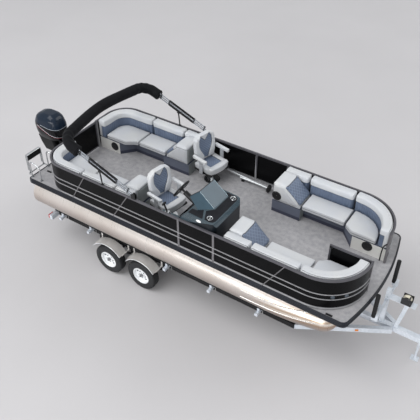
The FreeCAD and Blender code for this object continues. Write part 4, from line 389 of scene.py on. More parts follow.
# tyres: moulded rubber with three grooves round the tread, cross cuts in both
# shoulders, a raised rib on each wall and a bead that tucks into the rim
rubber = surface("tyre rubber", "#1B1C1D", "#26272A", 60, 0.72, grain=2, bump=0.25)
half_w = 0.5 * (tyre_high[1] - tyre_low[1])
rim_r = 0.1965
outline = [(-half_w + 0.020, rim_r), (-half_w + 0.004, rim_r + 0.014), (-half_w, rim_r + 0.040),
           (-half_w - 0.002, rim_r + 0.064), (-half_w, rim_r + 0.068), (-half_w + 0.002, tyre_r - 0.046),
           (-half_w + 0.010, tyre_r - 0.020), (-half_w + 0.022, tyre_r - 0.006),
           (-half_w + 0.034, tyre_r - 0.001)]
for centre in (-0.040, 0.0, 0.040):
    outline += [(centre - 0.005, tyre_r), (centre - 0.004, tyre_r - 0.009), (centre + 0.004, tyre_r - 0.009),
                (centre + 0.005, tyre_r)]
outline += [(-a, r) for a, r in outline[8::-1]]
tyre = spun("tyre_shape", outline, (0, 0, 0), (0, 1, 0), steps=96)
edit()
# a cut across each shoulder at every third step of the spin
pick("FACE", lambda m, n: 0.045 < abs(m.y) < half_w - 0.008 and math.hypot(m.x, m.z) > tyre_r - 0.016
     and round(math.degrees(math.atan2(m.z, m.x)) / 3.75 - 0.5) % 3 == 0)
bpy.ops.mesh.extrude_region_shrink_fatten(TRANSFORM_OT_shrink_fatten={"value": -0.006})
leave()

# wheels: pressed steel in white enamel, with five oval hand holes, five zinc
# nuts and a bright grease cap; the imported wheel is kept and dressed
white_enamel = surface("white wheel enamel", "#F2F3F4", "#E6E8EA", 70, 0.28, grain=3, bump=0.06, coat=0.4)
cap_metal = surface("bright grease cap", "#8C8E90", "#A9ABAD", 30, 0.25, metallic=0.85, grain=2)
shade = surface("shadowed wheel well", "#2A2B2D", "#343538", 60, 0.6, grain=3)
for name in wheel_names:
    low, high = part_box("tyre_" + name)
    hub = 0.5 * (Vector(low) + Vector(high))
    side = -1 if hub.y < 0 else 1
    skin = copied(tyre, "tyre_skin_" + name, Matrix.Translation(hub))
    fit(skin, rubber, "wheel_" + name, 30)
    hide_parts("tyre_" + name)

    def wheel_finish(m, n):
        """Dark behind the disc, bright on the cap and the nuts, white elsewhere."""
        out, from_axle = (m.y - hub.y) * side, math.hypot(m.x - hub.x, m.z - hub.z)
        if out < 0.018:
            return 2
        return 1 if from_axle < 0.0405 or (0.073 < from_axle < 0.095 and out > 0.0335) else 0

    finish_node("wheel_" + name, white_enamel, cap_metal, shade, choose=wheel_finish)
    ring = spun("rim_lip_" + name, [(0.0, 0.188), (0.004, 0.196), (0.010, 0.198), (0.014, 0.192),
                                    (0.012, 0.182), (0.004, 0.178), (0.0, 0.188)],
                hub + Vector((0, side * (half_w - 0.026), 0)), (0, side, 0), steps=56)
    fit(ring, white_enamel, "wheel_" + name)
bpy.data.objects.remove(tyre)

# ---------------------------------------------------------------- bunks, lights and winch
# The hull lies on pressure-treated boards wrapped in marine carpet, on bolted
# brackets.  Lamps are moulded acrylic lenses, the winch is stove enamelled.
carpet = surface("marine bunk carpet", "#121315", "#1D1F22", 25, 0.95, grain=1.5, bump=0.7)
finish_node("bunks", carpet)
finish_node("bunk_brackets", zinc)
red_lens = surface("red acrylic lens", "#A61412", "#C21D18", 20, 0.15, grain=2, coat=0.6)
amber_lens = surface("amber acrylic lens", "#D9761A", "#E88A25", 20, 0.15, grain=2, coat=0.6)
finish_node("trailer_lights", red_lens, amber_lens, choose=lambda m, n: 1 if m.x > 0 else 0)
black_enamel = surface("black winch enamel", "#101113", "#1C1D20", 40, 0.32, grain=3, coat=0.3)
finish_node("winch", black_enamel)
foam = surface("black post foam", "#0E0F10", "#191A1C", 18, 0.85, grain=2, bump=0.5)
finish_node("bow_posts", foam)
# the winch strap: a ring of pale webbing wound on the drum
webbing = surface("polyester winch webbing", "#CFC9B4", "#DDD8C6", 30, 0.8, grain=2, bump=0.4)
winch_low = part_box("winch")[0]
drum = Vector((winch_low[0] + 0.090, 0, winch_low[2] + 0.095))
wound = spun("winch_strap", [(-0.026, 0.052), (-0.026, 0.072), (-0.022, 0.077), (0.022, 0.077),
                             (0.026, 0.072), (0.026, 0.052), (-0.026, 0.052)], drum, (0, 1, 0), steps=48)
fit(wound, webbing, "root")

# ---------------------------------------------------------------- pontoon tubes
# Three tubes rolled from 2.5 mm marine aluminium, welded round every two or
# three metres, with pressed blunt noses.  The metal is left bare and brushed
# round the tube, so it reads as warm satin silver.
tube_metal = surface("brushed marine aluminium", "#E3DAD2", "#EEE7E1", 700, 0.32, metallic=0.8, grain=3,
                     bump=0.05)
tube_y = 0.968
tube_z = floor - 0.460
tube_r = 0.318
# painted shade: the metal darkens to brown-grey towards the bottom of the tube and fades out over its upper
# half
place = along(tube_metal)
lower_shade_share = between(tube_metal, place["Z"], tube_z - 0.30, tube_z + 0.20)
painted_lower_shade = mixed(tube_metal, lower_shade_share, "#8E7F76", tube_metal["colour"])
# painted reflections: long bright and golden streaks on the dished panels of the outer noses, climbing
# forward
climb = 0.06
reflection_run = maths(tube_metal, "MULTIPLY_ADD", place["X"], -climb, climb * (stern + 5.4))
reflection_at = maths(tube_metal, "ADD", place["Z"], reflection_run)
nose_reflections = tones(tube_metal, between(tube_metal, reflection_at, tube_z - 0.14, tube_z + 0.20),
                (0.0, "#A89A92"), (0.22, "#A28263"), (0.36, "#F7EFE4"), (0.47, "#B08F6C"),
                (0.60, "#FBF6EF"), (0.75, "#C9B19B"), (0.88, "#D9CDC4"))
nose_reflection_share = between(tube_metal, place["X"], stern + 5.45, stern + 5.85, high=0.75)
wire(tube_metal, "Base Color", mixed(tube_metal, nose_reflection_share, painted_lower_shade, nose_reflections))
# brushing runs round the tube: fine lines 1.5 mm apart, drawn at 6 mm so that they show
stretch = add_node(tube_metal["tree"], "ShaderNodeMapping", {"Scale": (160.0, 3.0, 3.0)},
                   {"Vector": tube_metal["place"]})
lines = noise(tube_metal, 1.0, 5.0, stretch.outputs[0])
wire(tube_metal, "Roughness", between(tube_metal, lines, 0.0, 1.0, 0.22, 0.38))
emboss(tube_metal, lines, 0.12, 0.0004)
finish_node("outer_pontoons", tube_metal)
finish_node("centre_pontoon", tube_metal)

# raised weld beads round each tube
bead = surface("aluminium weld bead", "#E2DDD8", "#CFC9C3", 20, 0.3, metallic=0.7, grain=3, bump=0.5)
bead_outline = [(-0.006, 0.3175), (-0.003, 0.3205), (0.003, 0.3205), (0.006, 0.3175)]
for name, y in (("starboard", -tube_y), ("port", tube_y), ("centre", 0.0)):
    rings = [spun("ring", bead_outline, (stern + x, y, tube_z), (1, 0, 0), steps=64) for x in (3.05, 5.69)]
    fit(join("weld_beads_" + name, rings), bead, "root")

# bright pressed strakes that wrap each outer nose and shed the spray
strake_metal = surface("polished strake", "#E8E6E4", "#DAD7D4", 200, 0.2, metallic=0.75, grain=4)
strake_aft, strake_length = 5.2, 1.45
nose_aft, nose_length, nose_narrows = 5.69, 1.02, 0.083
for name, side in (("starboard", -1), ("port", 1)):
    strips = []
    for height in (0.10, -0.06):
        points = []
        for step in range(15):
            t = step / 14
            run = max(0.0, strake_aft + strake_length * t - nose_aft)
            radius = tube_r - nose_narrows * (run / nose_length) ** 2
            lift = height + 0.12 * t * t
            across = math.sqrt(max(radius * radius - lift * lift, 0.0004))
            points.append((stern + strake_aft + strake_length * t, side * (tube_y + across + 0.002),
                           tube_z + lift))
        strips.append(bent("strip", points, 0.010, sides=2))
    fit(join("nose_strakes_" + name, strips), strake_metal, "root")

# ---------------------------------------------------------------- deck, beams, trim and motor pod
# Marine plywood on C-section aluminium beams, covered with woven vinyl and
# edged with a ribbed black extrusion riveted on all round.
beam_metal = surface("mill finish beam", "#A5A6A7", "#B5B6B7", 120, 0.42, metallic=0.7, grain=4)
finish_node("deck_beams", beam_metal)
finish_node("motor_pod", beam_metal)
# woven vinyl: 4 mm basket weave, drawn at 14 mm so that the camera sees it
woven = surface("woven vinyl flooring", "#8F8F93", "#B5B3B4", 90, 0.72, grain=4, bump=0.3)
weave = add_node(woven["tree"], "ShaderNodeTexChecker",
                 {"Scale": 70.0, "Color1": linear("#939396"), "Color2": linear("#B4B2B3")},
                 {"Vector": woven["place"]})
checks = mixed(woven, 0.35, woven["colour"], weave.outputs[0])
wire(woven, "Base Color", mixed(woven, 0.6, checks, noise(woven, 240.0), "SOFT_LIGHT"))
emboss(woven, weave.outputs["Fac"], 0.3, 0.001)
finish_node("deck", woven)
black_rib = surface("black ribbed deck edge", "#14171E", "#1E222B", 300, 0.42, grain=4, bump=0.1, mirror=0.35)
satin_cap = surface("silver corner cap", "#B8B9BB", "#C8C9CA", 200, 0.35, metallic=0.5, grain=4)
finish_node("deck_trim", black_rib, satin_cap, choose=lambda m, n: (
    1 if m.x < stern + 0.16 and abs(m.y) > 1.1 else 0))

deck_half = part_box("deck_trim")[1][1]
deck_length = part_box("deck_trim")[1][0] - stern


def deck_edge(out):
    """The deck's outline from the aft port corner forward and round to starboard, moved out."""
    half, radius, bulge, square = deck_half, 0.120, 0.145, 0.040
    points = [(stern - out, 0.0), (stern - out, half - square)]
    for step in range(1, 5):
        a = math.radians(180 - 22.5 * step)
        points.append((stern + square + (square + out) * math.cos(a),
                       half - square + (square + out) * math.sin(a)))
    corner = stern + deck_length - bulge - radius
    for step in range(7):
        a = math.radians(90 - 15 * step)
        points.append((corner + (radius + out) * math.cos(a),
                       half - radius + (radius + out) * math.sin(a)))
    chord = half - radius
    bow_r = (chord * chord + bulge * bulge) / (2 * bulge)
    for step in range(1, 13):
        y = chord * (1 - step / 12)
        points.append((stern + deck_length - bow_r + math.sqrt((bow_r + out) ** 2 - y * y), y))
    return points + [(x, -y) for x, y in points[-2:0:-1]]


# three round ribs on the extrusion and the rolled lip over the deck's edge
for name, height, radius, out in (("upper", -0.022, 0.0075, 0.001), ("middle", -0.054, 0.0075, 0.001),
                                  ("lower", -0.088, 0.0075, 0.001), ("lip", 0.002, 0.0110, -0.009)):
    rib = bent("deck_rib_" + name, [(x, y, floor + height) for x, y in deck_edge(out)], radius, closed=True)
    fit(rib, black_rib, "root")

# ---------------------------------------------------------------- fence
# Welded square-tube sections in grey powder coat hold black skins.  Two
# anodised bands run right round, and slanted dividers cross them.
rail_coat = surface("grey powder coat", "#545358", "#5E5D62", 260, 0.46, metallic=0.3, grain=3)
band_coat = surface("silver anodised band", "#AFAFB2", "#BEBEC0", 260, 0.34, metallic=0.6, grain=3)
divider_coat = surface("dark anodised divider", "#727073", "#7D7B7E", 260, 0.4, metallic=0.45, grain=3)
rail_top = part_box("fence_frame_port")[1][2]
fence_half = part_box("fence_frame_port")[1][1] - 0.004
band_heights = (0.250, 0.360)
foot_rail, top_rail = 0.055, 0.045


def fence_finish(m, n):
    """Silver on the foot rail and the two bands, grey on the top rail, dark on the outer dividers."""
    up = m.z - floor
    if any(abs(up - band) < 0.008 for band in band_heights) or up < foot_rail:
        return 1
    if up > rail_top - floor - top_rail:
        return 0
    return 2 if abs(m.y) > fence_half - 0.010 or m.x > stern + 6.9 or m.x < stern + 0.7 else 0


for side in ("starboard", "port"):
    finish_node("fence_frame_" + side, rail_coat, band_coat, divider_coat, choose=fence_finish)
black_skin = surface("black pebbled skin", "#050506", "#0A0A0C", 500, 0.3, grain=2, bump=0.2, mirror=0.1)
finish_node("fence_panels_starboard", black_skin)
finish_node("fence_panels_port", black_skin)
for gate in ("bow_gate", "stern_gate"):
    low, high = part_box(gate)
    thin, wide = (0, 1) if high[0] - low[0] < high[1] - low[1] else (1, 0)
    skin_at = 0.5 * (low[thin] + high[thin])
    finish_node(gate, rail_coat, black_skin, choose=lambda m, n: (
        1 if abs(m[thin] - skin_at) < 0.006 and low[wide] + 0.031 < m[wide] < high[wide] - 0.031
        and low[2] + 0.03 < m.z < high[2] - 0.034 else 0))

# ---------------------------------------------------------------- lounge bases
# Rotomoulded polyethylene boxes on the deck.  Their aisle faces are skinned in
# slate vinyl over a toe kick in painted shade, their ends in pale vinyl.
slate_side = surface("slate vinyl on moulded base", "#5A606F", "#666C7B", 260, 0.5, grain=2, bump=0.25)
# painted shade: a dark band about 75 mm high along the foot of each slate face stands for a toe-kick recess
painted_kick_shade = between(slate_side, along(slate_side)["Z"], floor + 0.074, floor + 0.080)
wire(slate_side, "Base Color", mixed(slate_side, painted_kick_shade, "#3C3F50", slate_side["colour"]))
pale_side = surface("pale vinyl on moulded base", "#D9D8D3", "#E1E0DC", 260, 0.48, grain=2, bump=0.25)
grey_side = surface("grey moulded end panel", "#8C9191", "#989D9D", 260, 0.5, grain=2, bump=0.3)


def base_finish(m, n):
    """Grey on the ends, pale on the faces across the middle of the boat, slate elsewhere."""
    if abs(n.x) > 0.9:
        return 1
    return 2 if abs(n.y) > 0.9 and abs(m.y) < 0.5 else 0


finish_node("aft_lounge_bases", slate_side, grey_side, pale_side, choose=base_finish)
finish_node("bow_lounge_bases", slate_side, grey_side, pale_side, choose=base_finish)

# ---------------------------------------------------------------- lounge cushions
# Cut polyurethane foam under sewn marine vinyl: white bolsters and seats, a
# pleated slate band along the lower backs, black cord in the joining seams.
# Each starts a few millimetres under size and is blown out by its own foam.
fence_aft = stern + 0.450
fence_bow = stern + 7.190
half_fence = 1.281
turn_aft = 0.500
turn_bow = 0.811


def along_fence(x, y):
    """How far along the port fence a point lies, and how deep inside its outer line."""
    if x < fence_aft + turn_aft and y > half_fence - turn_aft:
        v = Vector((x - fence_aft - turn_aft, y - half_fence + turn_aft))
        return fence_aft + turn_aft - turn_aft * math.atan2(-v.x, v.y), turn_aft - v.length
    if x < fence_aft + 0.4 and y <= half_fence - turn_aft:
        return fence_aft + turn_aft * (1 - 0.5 * math.pi) - (half_fence - turn_aft - y), x - fence_aft
    if x > fence_bow - turn_bow and y > half_fence - turn_bow:
        v = Vector((x - fence_bow + turn_bow, y - half_fence + turn_bow))
        return fence_bow - turn_bow + turn_bow * math.atan2(v.x, v.y), turn_bow - v.length
    if x > fence_bow - 0.4 and y <= half_fence - turn_bow:
        return fence_bow + turn_bow * (0.5 * math.pi - 1) + (half_fence - turn_bow - y), fence_bow - x
    return x, half_fence - y


def eased(value, start, end):
    """0 before start, 1 after end, and a smooth rise between."""
    t = min(max((value - start) / (end - start), 0.0), 1.0)
    return t * t * (3 - 2 * t)


def middle(piece):
    """The middle of a mesh's bounding box."""
    corners = [Vector(corner) for corner in piece.bound_box]
    return 0.5 * (corners[0] + corners[6])


def cushions(node, port_only=False):
    """Copies of a soft node's solids, one object each, or of those to port only."""
    whole = bpy.data.objects.new(node + "_copy", nodes[node].data.copy())
    whole.data.materials.clear()
    bpy.context.collection.objects.link(whole)
    alone(whole)
    edit()
    bpy.ops.mesh.remove_doubles(threshold=0.00002)
    bpy.ops.mesh.separate(type="LOOSE")
    leave()
    pieces = sorted(bpy.context.selected_objects, key=lambda piece: tuple(middle(piece)))
    kept = [piece for piece in pieces if middle(piece).y > 0 or not port_only]
    for piece in set(pieces) - set(kept):
        bpy.data.objects.remove(piece)
    return kept


def modify(piece, kind, **settings):
    """Put one modifier on a piece and apply it."""
    modifier = piece.modifiers.new(kind, kind)
    for key, value in settings.items():
        setattr(modifier, key, value)
    bpy.ops.object.modifier_apply(modifier=modifier.name)


def stuffed(piece, cell, under, cap, rounds):
    """One cushion remeshed as a cover, taken in, rounded, blown out by its foam and subdivided once."""
    alone(piece)
    modify(piece, "REMESH", mode="VOXEL", voxel_size=cell)
    modify(piece, "DISPLACE", strength=-under, mid_level=0.0)
    edit()
    bpy.ops.mesh.vertices_smooth(factor=0.5, repeat=rounds)
    leave()
    start = [v.co.copy() for v in piece.data.vertices]
    cloth = piece.modifiers.new("foam", "CLOTH")
    cloth.settings.quality = 3
    cloth.settings.mass = 0.3
    cloth.settings.tension_stiffness = 15
    cloth.settings.use_pressure = True
    cloth.settings.uniform_pressure_force = 4.0
    cloth.settings.effector_weights.gravity = 0.0
    cloth.point_cache.frame_start = 1
    cloth.point_cache.frame_end = last = 20
    for step in range(1, last + 1):
        bpy.context.scene.frame_set(step)
    bpy.ops.object.modifier_apply(modifier="foam")
    bpy.context.scene.frame_set(1)
    for vertex, place in zip(piece.data.vertices, start):
        move = vertex.co - place
        if move.length > cap:
            vertex.co = place + move * (cap / move.length)
    modify(piece, "SUBSURF", levels=1, render_levels=1)
    return piece


stitching = ("slate", "grey", "seam", "run", "rise")


def sewn(piece, pattern):
    """Move each point as its seams pull it, and keep how far it lies inside each part of the stitching."""
    results = [pattern(vertex.co.copy(), vertex.normal.copy()) for vertex in piece.data.vertices]
    piece.data.vertices.foreach_set("co", [value for place, _ in results for value in place])
    for index, key in enumerate(stitching):
        field = piece.data.attributes.new(key, "FLOAT", "POINT")
        field.data.foreach_set("value", [values[index] for _, values in results])
    piece.data.update()
    return piece


# marine vinyl: fine pebble grain, drawn at 5 mm, with a soft sheen
vinyl = surface("marine upholstery vinyl", "#C3C6CB", "#CCCDCD", 380, 0.5, grain=5, bump=0.2, spread=0.06)
vinyl["shader"].inputs["Sheen Weight"].default_value = 0.1
vinyl["shader"].inputs["Sheen Roughness"].default_value = 0.4
field = {key: add_node(vinyl["tree"], "ShaderNodeAttribute", {"attribute_name": key}).outputs["Fac"]
         for key in stitching}
# stitched channels 58 mm apart: upright pleats, or diamonds where the height counts too
pleat = 0.058
waves = []
for sign in (1.0, -1.0):
    turn = maths(vinyl, "MULTIPLY_ADD", field["rise"], sign, field["run"])
    wave = maths(vinyl, "SINE", maths(vinyl, "MULTIPLY", turn, math.pi / pleat))
    waves.append(maths(vinyl, "ABSOLUTE", wave))
valley = maths(vinyl, "MINIMUM", *waves)
# pale thread shows in the diamonds only; the upright pleats are sewn tone on tone
quilted = maths(vinyl, "GREATER_THAN", field["rise"], 0.1)
thread = maths(vinyl, "MULTIPLY", between(vinyl, valley, 0.07, 0.26, 0.6, 0.0), quilted)
tone = vinyl["colour"]
for key, first, second in (("slate", "#58657B", "#657288"), ("grey", "#888D8D", "#959A9A")):
    dyed = tones(vinyl, noise(vinyl, 4.0), (0.3, first), (0.7, second))
    if key == "slate":
        dyed = mixed(vinyl, thread, dyed, "#94A1B5")
    tone = mixed(vinyl, between(vinyl, field[key], -0.001, 0.001), tone, dyed)
# the seam: a dark corded groove beside each change of colour
near = maths(vinyl, "ABSOLUTE", field["seam"])
wire(vinyl, "Base Color", mixed(vinyl, between(vinyl, near, 0.0035, 0.0055, 0.8, 0.0), tone, "#23252C"))
within = between(vinyl, field["slate"], -0.001, 0.004)
puff = maths(vinyl, "MULTIPLY", maths(vinyl, "POWER", valley, 0.5), within)
emboss(vinyl, maths(vinyl, "ADD", puff, between(vinyl, near, 0.0, 0.007)), 0.8, 0.005)


# heights over the floor: the slate band's top, the foot of a slope, the arm rest's upper seam
band_top, slope_foot, rest_seam = 0.575, 0.420, 0.655


def back_pattern(co, normal):
    """White roll over a sunk slate band of upright pleats; slate at the foot of each end."""
    run, deep = along_fence(co.x, abs(co.y))
    up = co.z - floor
    band = min(band_top - up, deep - 0.125)
    if band > -0.02 and deep > 0.17:
        wave = abs(math.sin(math.pi * run / pleat))
        channel = 0.005 * (1 - wave) ** 2 * eased(band, 0.0, 0.02)
        sink = 0.010 * eased(band, -0.006, 0.012) + channel
        co = co - Vector((normal.x, normal.y, 0.0)) * sink
    seam = band if deep > 0.12 else abs(deep - 0.066) if up > 0.66 else 1.0
    return co, (band, -1.0, seam, run, 0.0)


def seat_pattern(co, normal):
    """A plain crowned top over a boxing strip with one seam round it."""
    run, deep = along_fence(co.x, abs(co.y))
    up = co.z - floor
    crown = 0.008 * eased(deep, 0.24, 0.42) * eased(up, 0.37, 0.39)
    return co + Vector((0, 0, crown)), (-1.0, -1.0, 0.352 - up if normal.z < 0.5 else 1.0, run, 0.0)


rest_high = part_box("aft_arm_rests")[1]
rest_ahead, rest_up = 0.7107, 0.7035    # the direction out of its slope


def rest_pattern(co, normal):
    """White pad over the top, slate at the foot of its slope, grey forward face, inset pale side."""
    up = co.z - floor
    slope = (co.x - (rest_high[0] - 0.555)) * rest_ahead - (up - slope_foot) * rest_up
    slate = min(band_top - up, 0.045 - slope)
    grey = min(co.x - rest_high[0] + 0.020, rest_seam - up)
    inner = co.y - 0.58
    seam = min(abs(slope - 0.05), 1.0) if inner < 0.03 and up < 0.66 else 1.0
    if abs(up - rest_seam) < 0.02 and (normal.x > 0.5 or inner < 0.03):
        seam = min(seam, abs(up - rest_seam))
    return co, (slate, grey, seam, 10.0, 0.0)


chaise_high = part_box("bow_chaise_backs")[1]
chaise_aft, chaise_up = 0.6778, 0.7353    # the direction out of its slope


def chaise_pattern(co, normal):
    """A quilted slate face leans towards the bow; a seam divides it from the white cap and sides."""
    up = co.z - floor
    slope = (chaise_high[0] - 0.010 - co.x) * chaise_aft - (up - slope_foot) * chaise_up
    face = min(0.032 - slope, 0.700 - up, up - 0.25)
    if normal.x < 0.35:
        face = min(face, (normal.x - 0.35) * 0.05)
    return co, (face, -1.0, face, co.y * 0.7, up)


def dressed(piece, item, body, node):
    """Give a sewn cushion its cover and its body, and hide the imported node it stands in for."""
    piece.data.polygons.foreach_set("use_smooth", [True] * len(piece.data.polygons))
    piece.data.materials.clear()
    piece.data.materials.append(item["material"])
    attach(piece, body)
    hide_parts(node)


for node, cell, pattern, rounds in (
    ("aft_lounge_seats", 0.020, seat_pattern, 5),
    ("bow_lounge_seats", 0.020, seat_pattern, 5),
    ("aft_lounge_backs", 0.020, back_pattern, 6),
    ("bow_lounge_backs", 0.020, back_pattern, 6),
    ("aft_arm_rests", 0.018, rest_pattern, 4),
    ("bow_chaise_backs", 0.018, chaise_pattern, 4),
):
    for number, cushion in enumerate(cushions(node, port_only=True)):
        cushion.name = "%s_%d_port" % (node, number + 1)
        port = sewn(stuffed(cushion, cell, 0.007, 0.008, rounds), pattern)
        starboard = copied(port, cushion.name.replace("_port", "_starboard"), MIRROR)
        for side in (port, starboard):
            dressed(side, vinyl, "root", node)


def on_boat(ahead, aside, up):
    """A place ahead of the stern edge of the deck, to port of the middle and over the floor."""
    return stern + ahead, aside, floor + up


# speakers: moulded ABS rings round a black pressed grille
grille = surface("black speaker grille", "#08080A", "#141417", 12, 0.45, grain=2, bump=0.5)
speaker_outline = [(0.0, 0.0), (0.005, 0.015), (0.007, 0.037), (0.003, 0.071), (0.011, 0.078),
                   (0.013, 0.088), (0.008, 0.097), (0.0, 0.100)]
speakers = [spun("speaker", speaker_outline, on_boat(ahead, inside, up), (0, -1, 0), steps=36)
            for ahead, inside, up in ((0.898, 0.448, 0.153), (6.800, 0.448, 0.186), (4.870, 0.560, 0.430))]
pair("speakers", speakers, grille)

# ---------------------------------------------------------------- helm console
# One rotomoulded shell, teal-grey and glossy, screwed to the deck by its foot.
# Black non-slip mats lie on its sloped top round two pressed steel cup
# holders, and dials and switches fill the dash under a tinted acrylic screen.
teal = surface("teal-grey moulded gelcoat", "#34434B", "#3F5058", 500, 0.26, grain=3, bump=0.05, coat=0.5)
control = surface("black moulded control plastic", "#0D0D0F", "#161619", 60, 0.42, grain=2, bump=0.2,
                  mirror=0.35)
steel = surface("polished stainless steel", "#BFC2C4", "#D8DADB", 90, 0.16, metallic=1.0, grain=2, bump=0.02,
                spread=0.05)
helm_y = -0.780
wheel_at = Vector(on_boat(3.600, helm_y, 0.930))
column_tilt = math.radians(32)
column = Vector((math.cos(column_tilt), 0, -math.sin(column_tilt)))


def off_column(m):
    """How far a point is from the steering column's line."""
    off = m - wheel_at
    return (off - column * off.dot(column)).length


# painted shade: the console's lower forward faces, under the top's lip, are coloured near black
painted_shade_teal = surface("painted shade on lower console", "#10161B", "#182027", 500, 0.34, grain=3, bump=0.05,
                     mirror=0.35)


def console_finish(m, n):
    """Black round the column, painted shade (near black) on the lower forward faces, teal elsewhere."""
    if off_column(m) < 0.055:
        return 1
    return 2 if m.z < floor + 0.745 and abs(n.z) < 0.5 and m.x > stern + 3.85 else 0


finish_node("helm_console", teal, control, painted_shade_teal, choose=console_finish)


def plate(name, points, thick, place):
    """A flat sheet: its outline drawn, filled, thickened, eased along its upper edge and set in place."""
    piece = drawn(name, [(a, b, 0) for a, b in points])
    bpy.ops.mesh.edge_face_add()
    bpy.ops.mesh.extrude_region_move(TRANSFORM_OT_translate={"value": (0, 0, thick)})
    bpy.ops.mesh.select_all(action="SELECT")
    bpy.ops.mesh.normals_make_consistent(inside=False)
    pick("EDGE", lambda m, d: m.z > 0.99 * thick)
    bpy.ops.mesh.bevel(offset=0.0012, segments=2, affect="EDGES")
    leave()
    piece.data.transform(place)
    return piece


top_fall = 40 / 550       # the console's top falls this much a metre ahead
top_aft, top_up = 4.020, 0.870
on_top = (Matrix.Translation(on_boat(top_aft, 0, top_up + 0.0003))
          @ Matrix.Rotation(math.atan(top_fall), 4, "Y"))
mat = surface("black non-slip mat", "#101116", "#181A20", 120, 0.75, grain=3, bump=0.7, mirror=0.3)
front_mat = plate("front_mat", [(0.360, -0.860), (0.365, -0.415), (0.285, -0.355), (0.280, -0.330),
                                (0.470, -0.330), (0.520, -0.352), (0.543, -0.410), (0.537, -1.110),
                                (0.513, -1.165), (0.460, -1.192), (0.355, -1.185), (0.255, -0.985)],
                  0.003, on_top)
side_mat = plate("side_mat", [(0.020, -1.200), (0.020, -1.080), (0.115, -1.068), (0.212, -0.990),
                              (0.312, -1.180), (0.300, -1.200)], 0.003, on_top)
fit(join("console_mats", [front_mat, side_mat]), mat, "root")
cups, wells = [], []
for x, y in ((0.415, -1.105), (0.462, -0.412)):
    for name, outline, steps, group in (
        ("cup", [(0.0035, 0.037), (0.010, 0.040), (0.015, 0.046), (0.013, 0.054), (0.004, 0.058),
                 (0.002, 0.058)], 48, cups),
        ("boss", [(0.0060, 0.0), (0.0060, 0.009), (0.0036, 0.012)], 24, cups),
        ("well", [(0.0036, 0.0), (0.0036, 0.030), (0.0044, 0.038)], 48, wells),
    ):
        item = spun(name, outline, (0, 0, 0), (0, 0, 1), steps=steps)
        item.data.transform(on_top @ Matrix.Translation((x, y, 0)))
        group.append(item)
fit(join("cup_holders", cups), steel, "root")
fit(join("cup_holder_wells", wells), control, "root")
lamp = begin("courtesy_lamp", bpy.ops.mesh.primitive_uv_sphere_add, segments=32, ring_count=16, radius=1.0,
             location=on_boat(4.285, -1.2375, 0.800), scale=(0.052, 0.007, 0.030))
lens_white = surface("white lamp lens", "#EDEFF0", "#F6F7F8", 40, 0.2, grain=2, bump=0.02, coat=0.6)
fit(lamp, lens_white, "root")

# the dash: a black panel on the slope under the top, four dials, six rockers
dash_lean = math.atan2(250, 225)
on_dash = (Matrix.Translation(on_boat(top_aft, helm_y, top_up))
           @ Matrix.Rotation(-dash_lean, 4, "Y"))
panel = plate("dash_panel", [(-0.270, -0.395), (-0.032, -0.395), (-0.020, -0.380), (-0.020, 0.380),
                             (-0.032, 0.395), (-0.270, 0.395), (-0.285, 0.380), (-0.285, -0.380)],
              0.004, on_dash)
rockers = []
for index in range(6):
    across = 0.150 + 0.034 * index
    rocker = block("rocker", (-0.235, across - 0.011, 0.003), (-0.200, across + 0.011, 0.010), 0.002)
    rocker.data.transform(on_dash)
    rockers.append(rocker)
dull_black = surface("matt black dash film", "#08080A", "#0E0E10", 90, 0.8, grain=2, bump=0.1, mirror=0.0)
fit(join("dash_panel_and_switches", [panel] + rockers), dull_black, "root")
dials = []
dial_r = 0.042
for across in (-0.150, -0.270, 0.150, 0.270):
    dial = spun("dial", [(0.0045, 0.0), (0.0045, dial_r - 0.008), (0.009, dial_r - 0.005), (0.010, dial_r),
                         (0.004, dial_r + 0.003)], (0, 0, 0), (0, 0, 1))
    dial.data.transform(on_dash @ Matrix.Translation((-0.085, across, 0)))
    dials.append(dial)
fit(join("dash_dials", dials), control, "root")

# the screen: smoke-blue acrylic, 8 mm, its top edge bound in black rubber
acrylic = surface("smoke-blue acrylic sheet", "#3D5563", "#48616F", 600, 0.07, grain=40, bump=0.0,
                  spread=0.02)
acrylic["shader"].inputs["Transmission Weight"].default_value = 0.25
acrylic["shader"].inputs["IOR"].default_value = 1.49
finish_node("windscreen", acrylic)
head = [on_boat(x, y, 1.111)
        for x, y in ((3.985, -1.063), (4.053, -0.849), (4.073, -0.431), (3.990, -0.352))]
fit(bent("screen_edge", head, 0.006), rubber, "root")
# painted highlight: a thin pale rod on each fold of the screen stands for the light caught by the bend
painted_fold_highlight = surface("bright acrylic edge", "#9FB6C0", "#AEC3CC", 200, 0.15, grain=10, bump=0.0)
folds = []
for (ax, ay), (bx, by) in (((4.357, -0.852), (4.057, -0.852)), ((4.362, -0.403), (4.077, -0.428))):
    foot = floor + top_up - (ax - top_aft) * top_fall + 0.004
    folds.append(bent("fold", [(stern + ax, ay, foot), on_boat(bx, by, 1.106)], 0.0035))
fit(join("screen_fold_highlights", folds), painted_fold_highlight, "root")

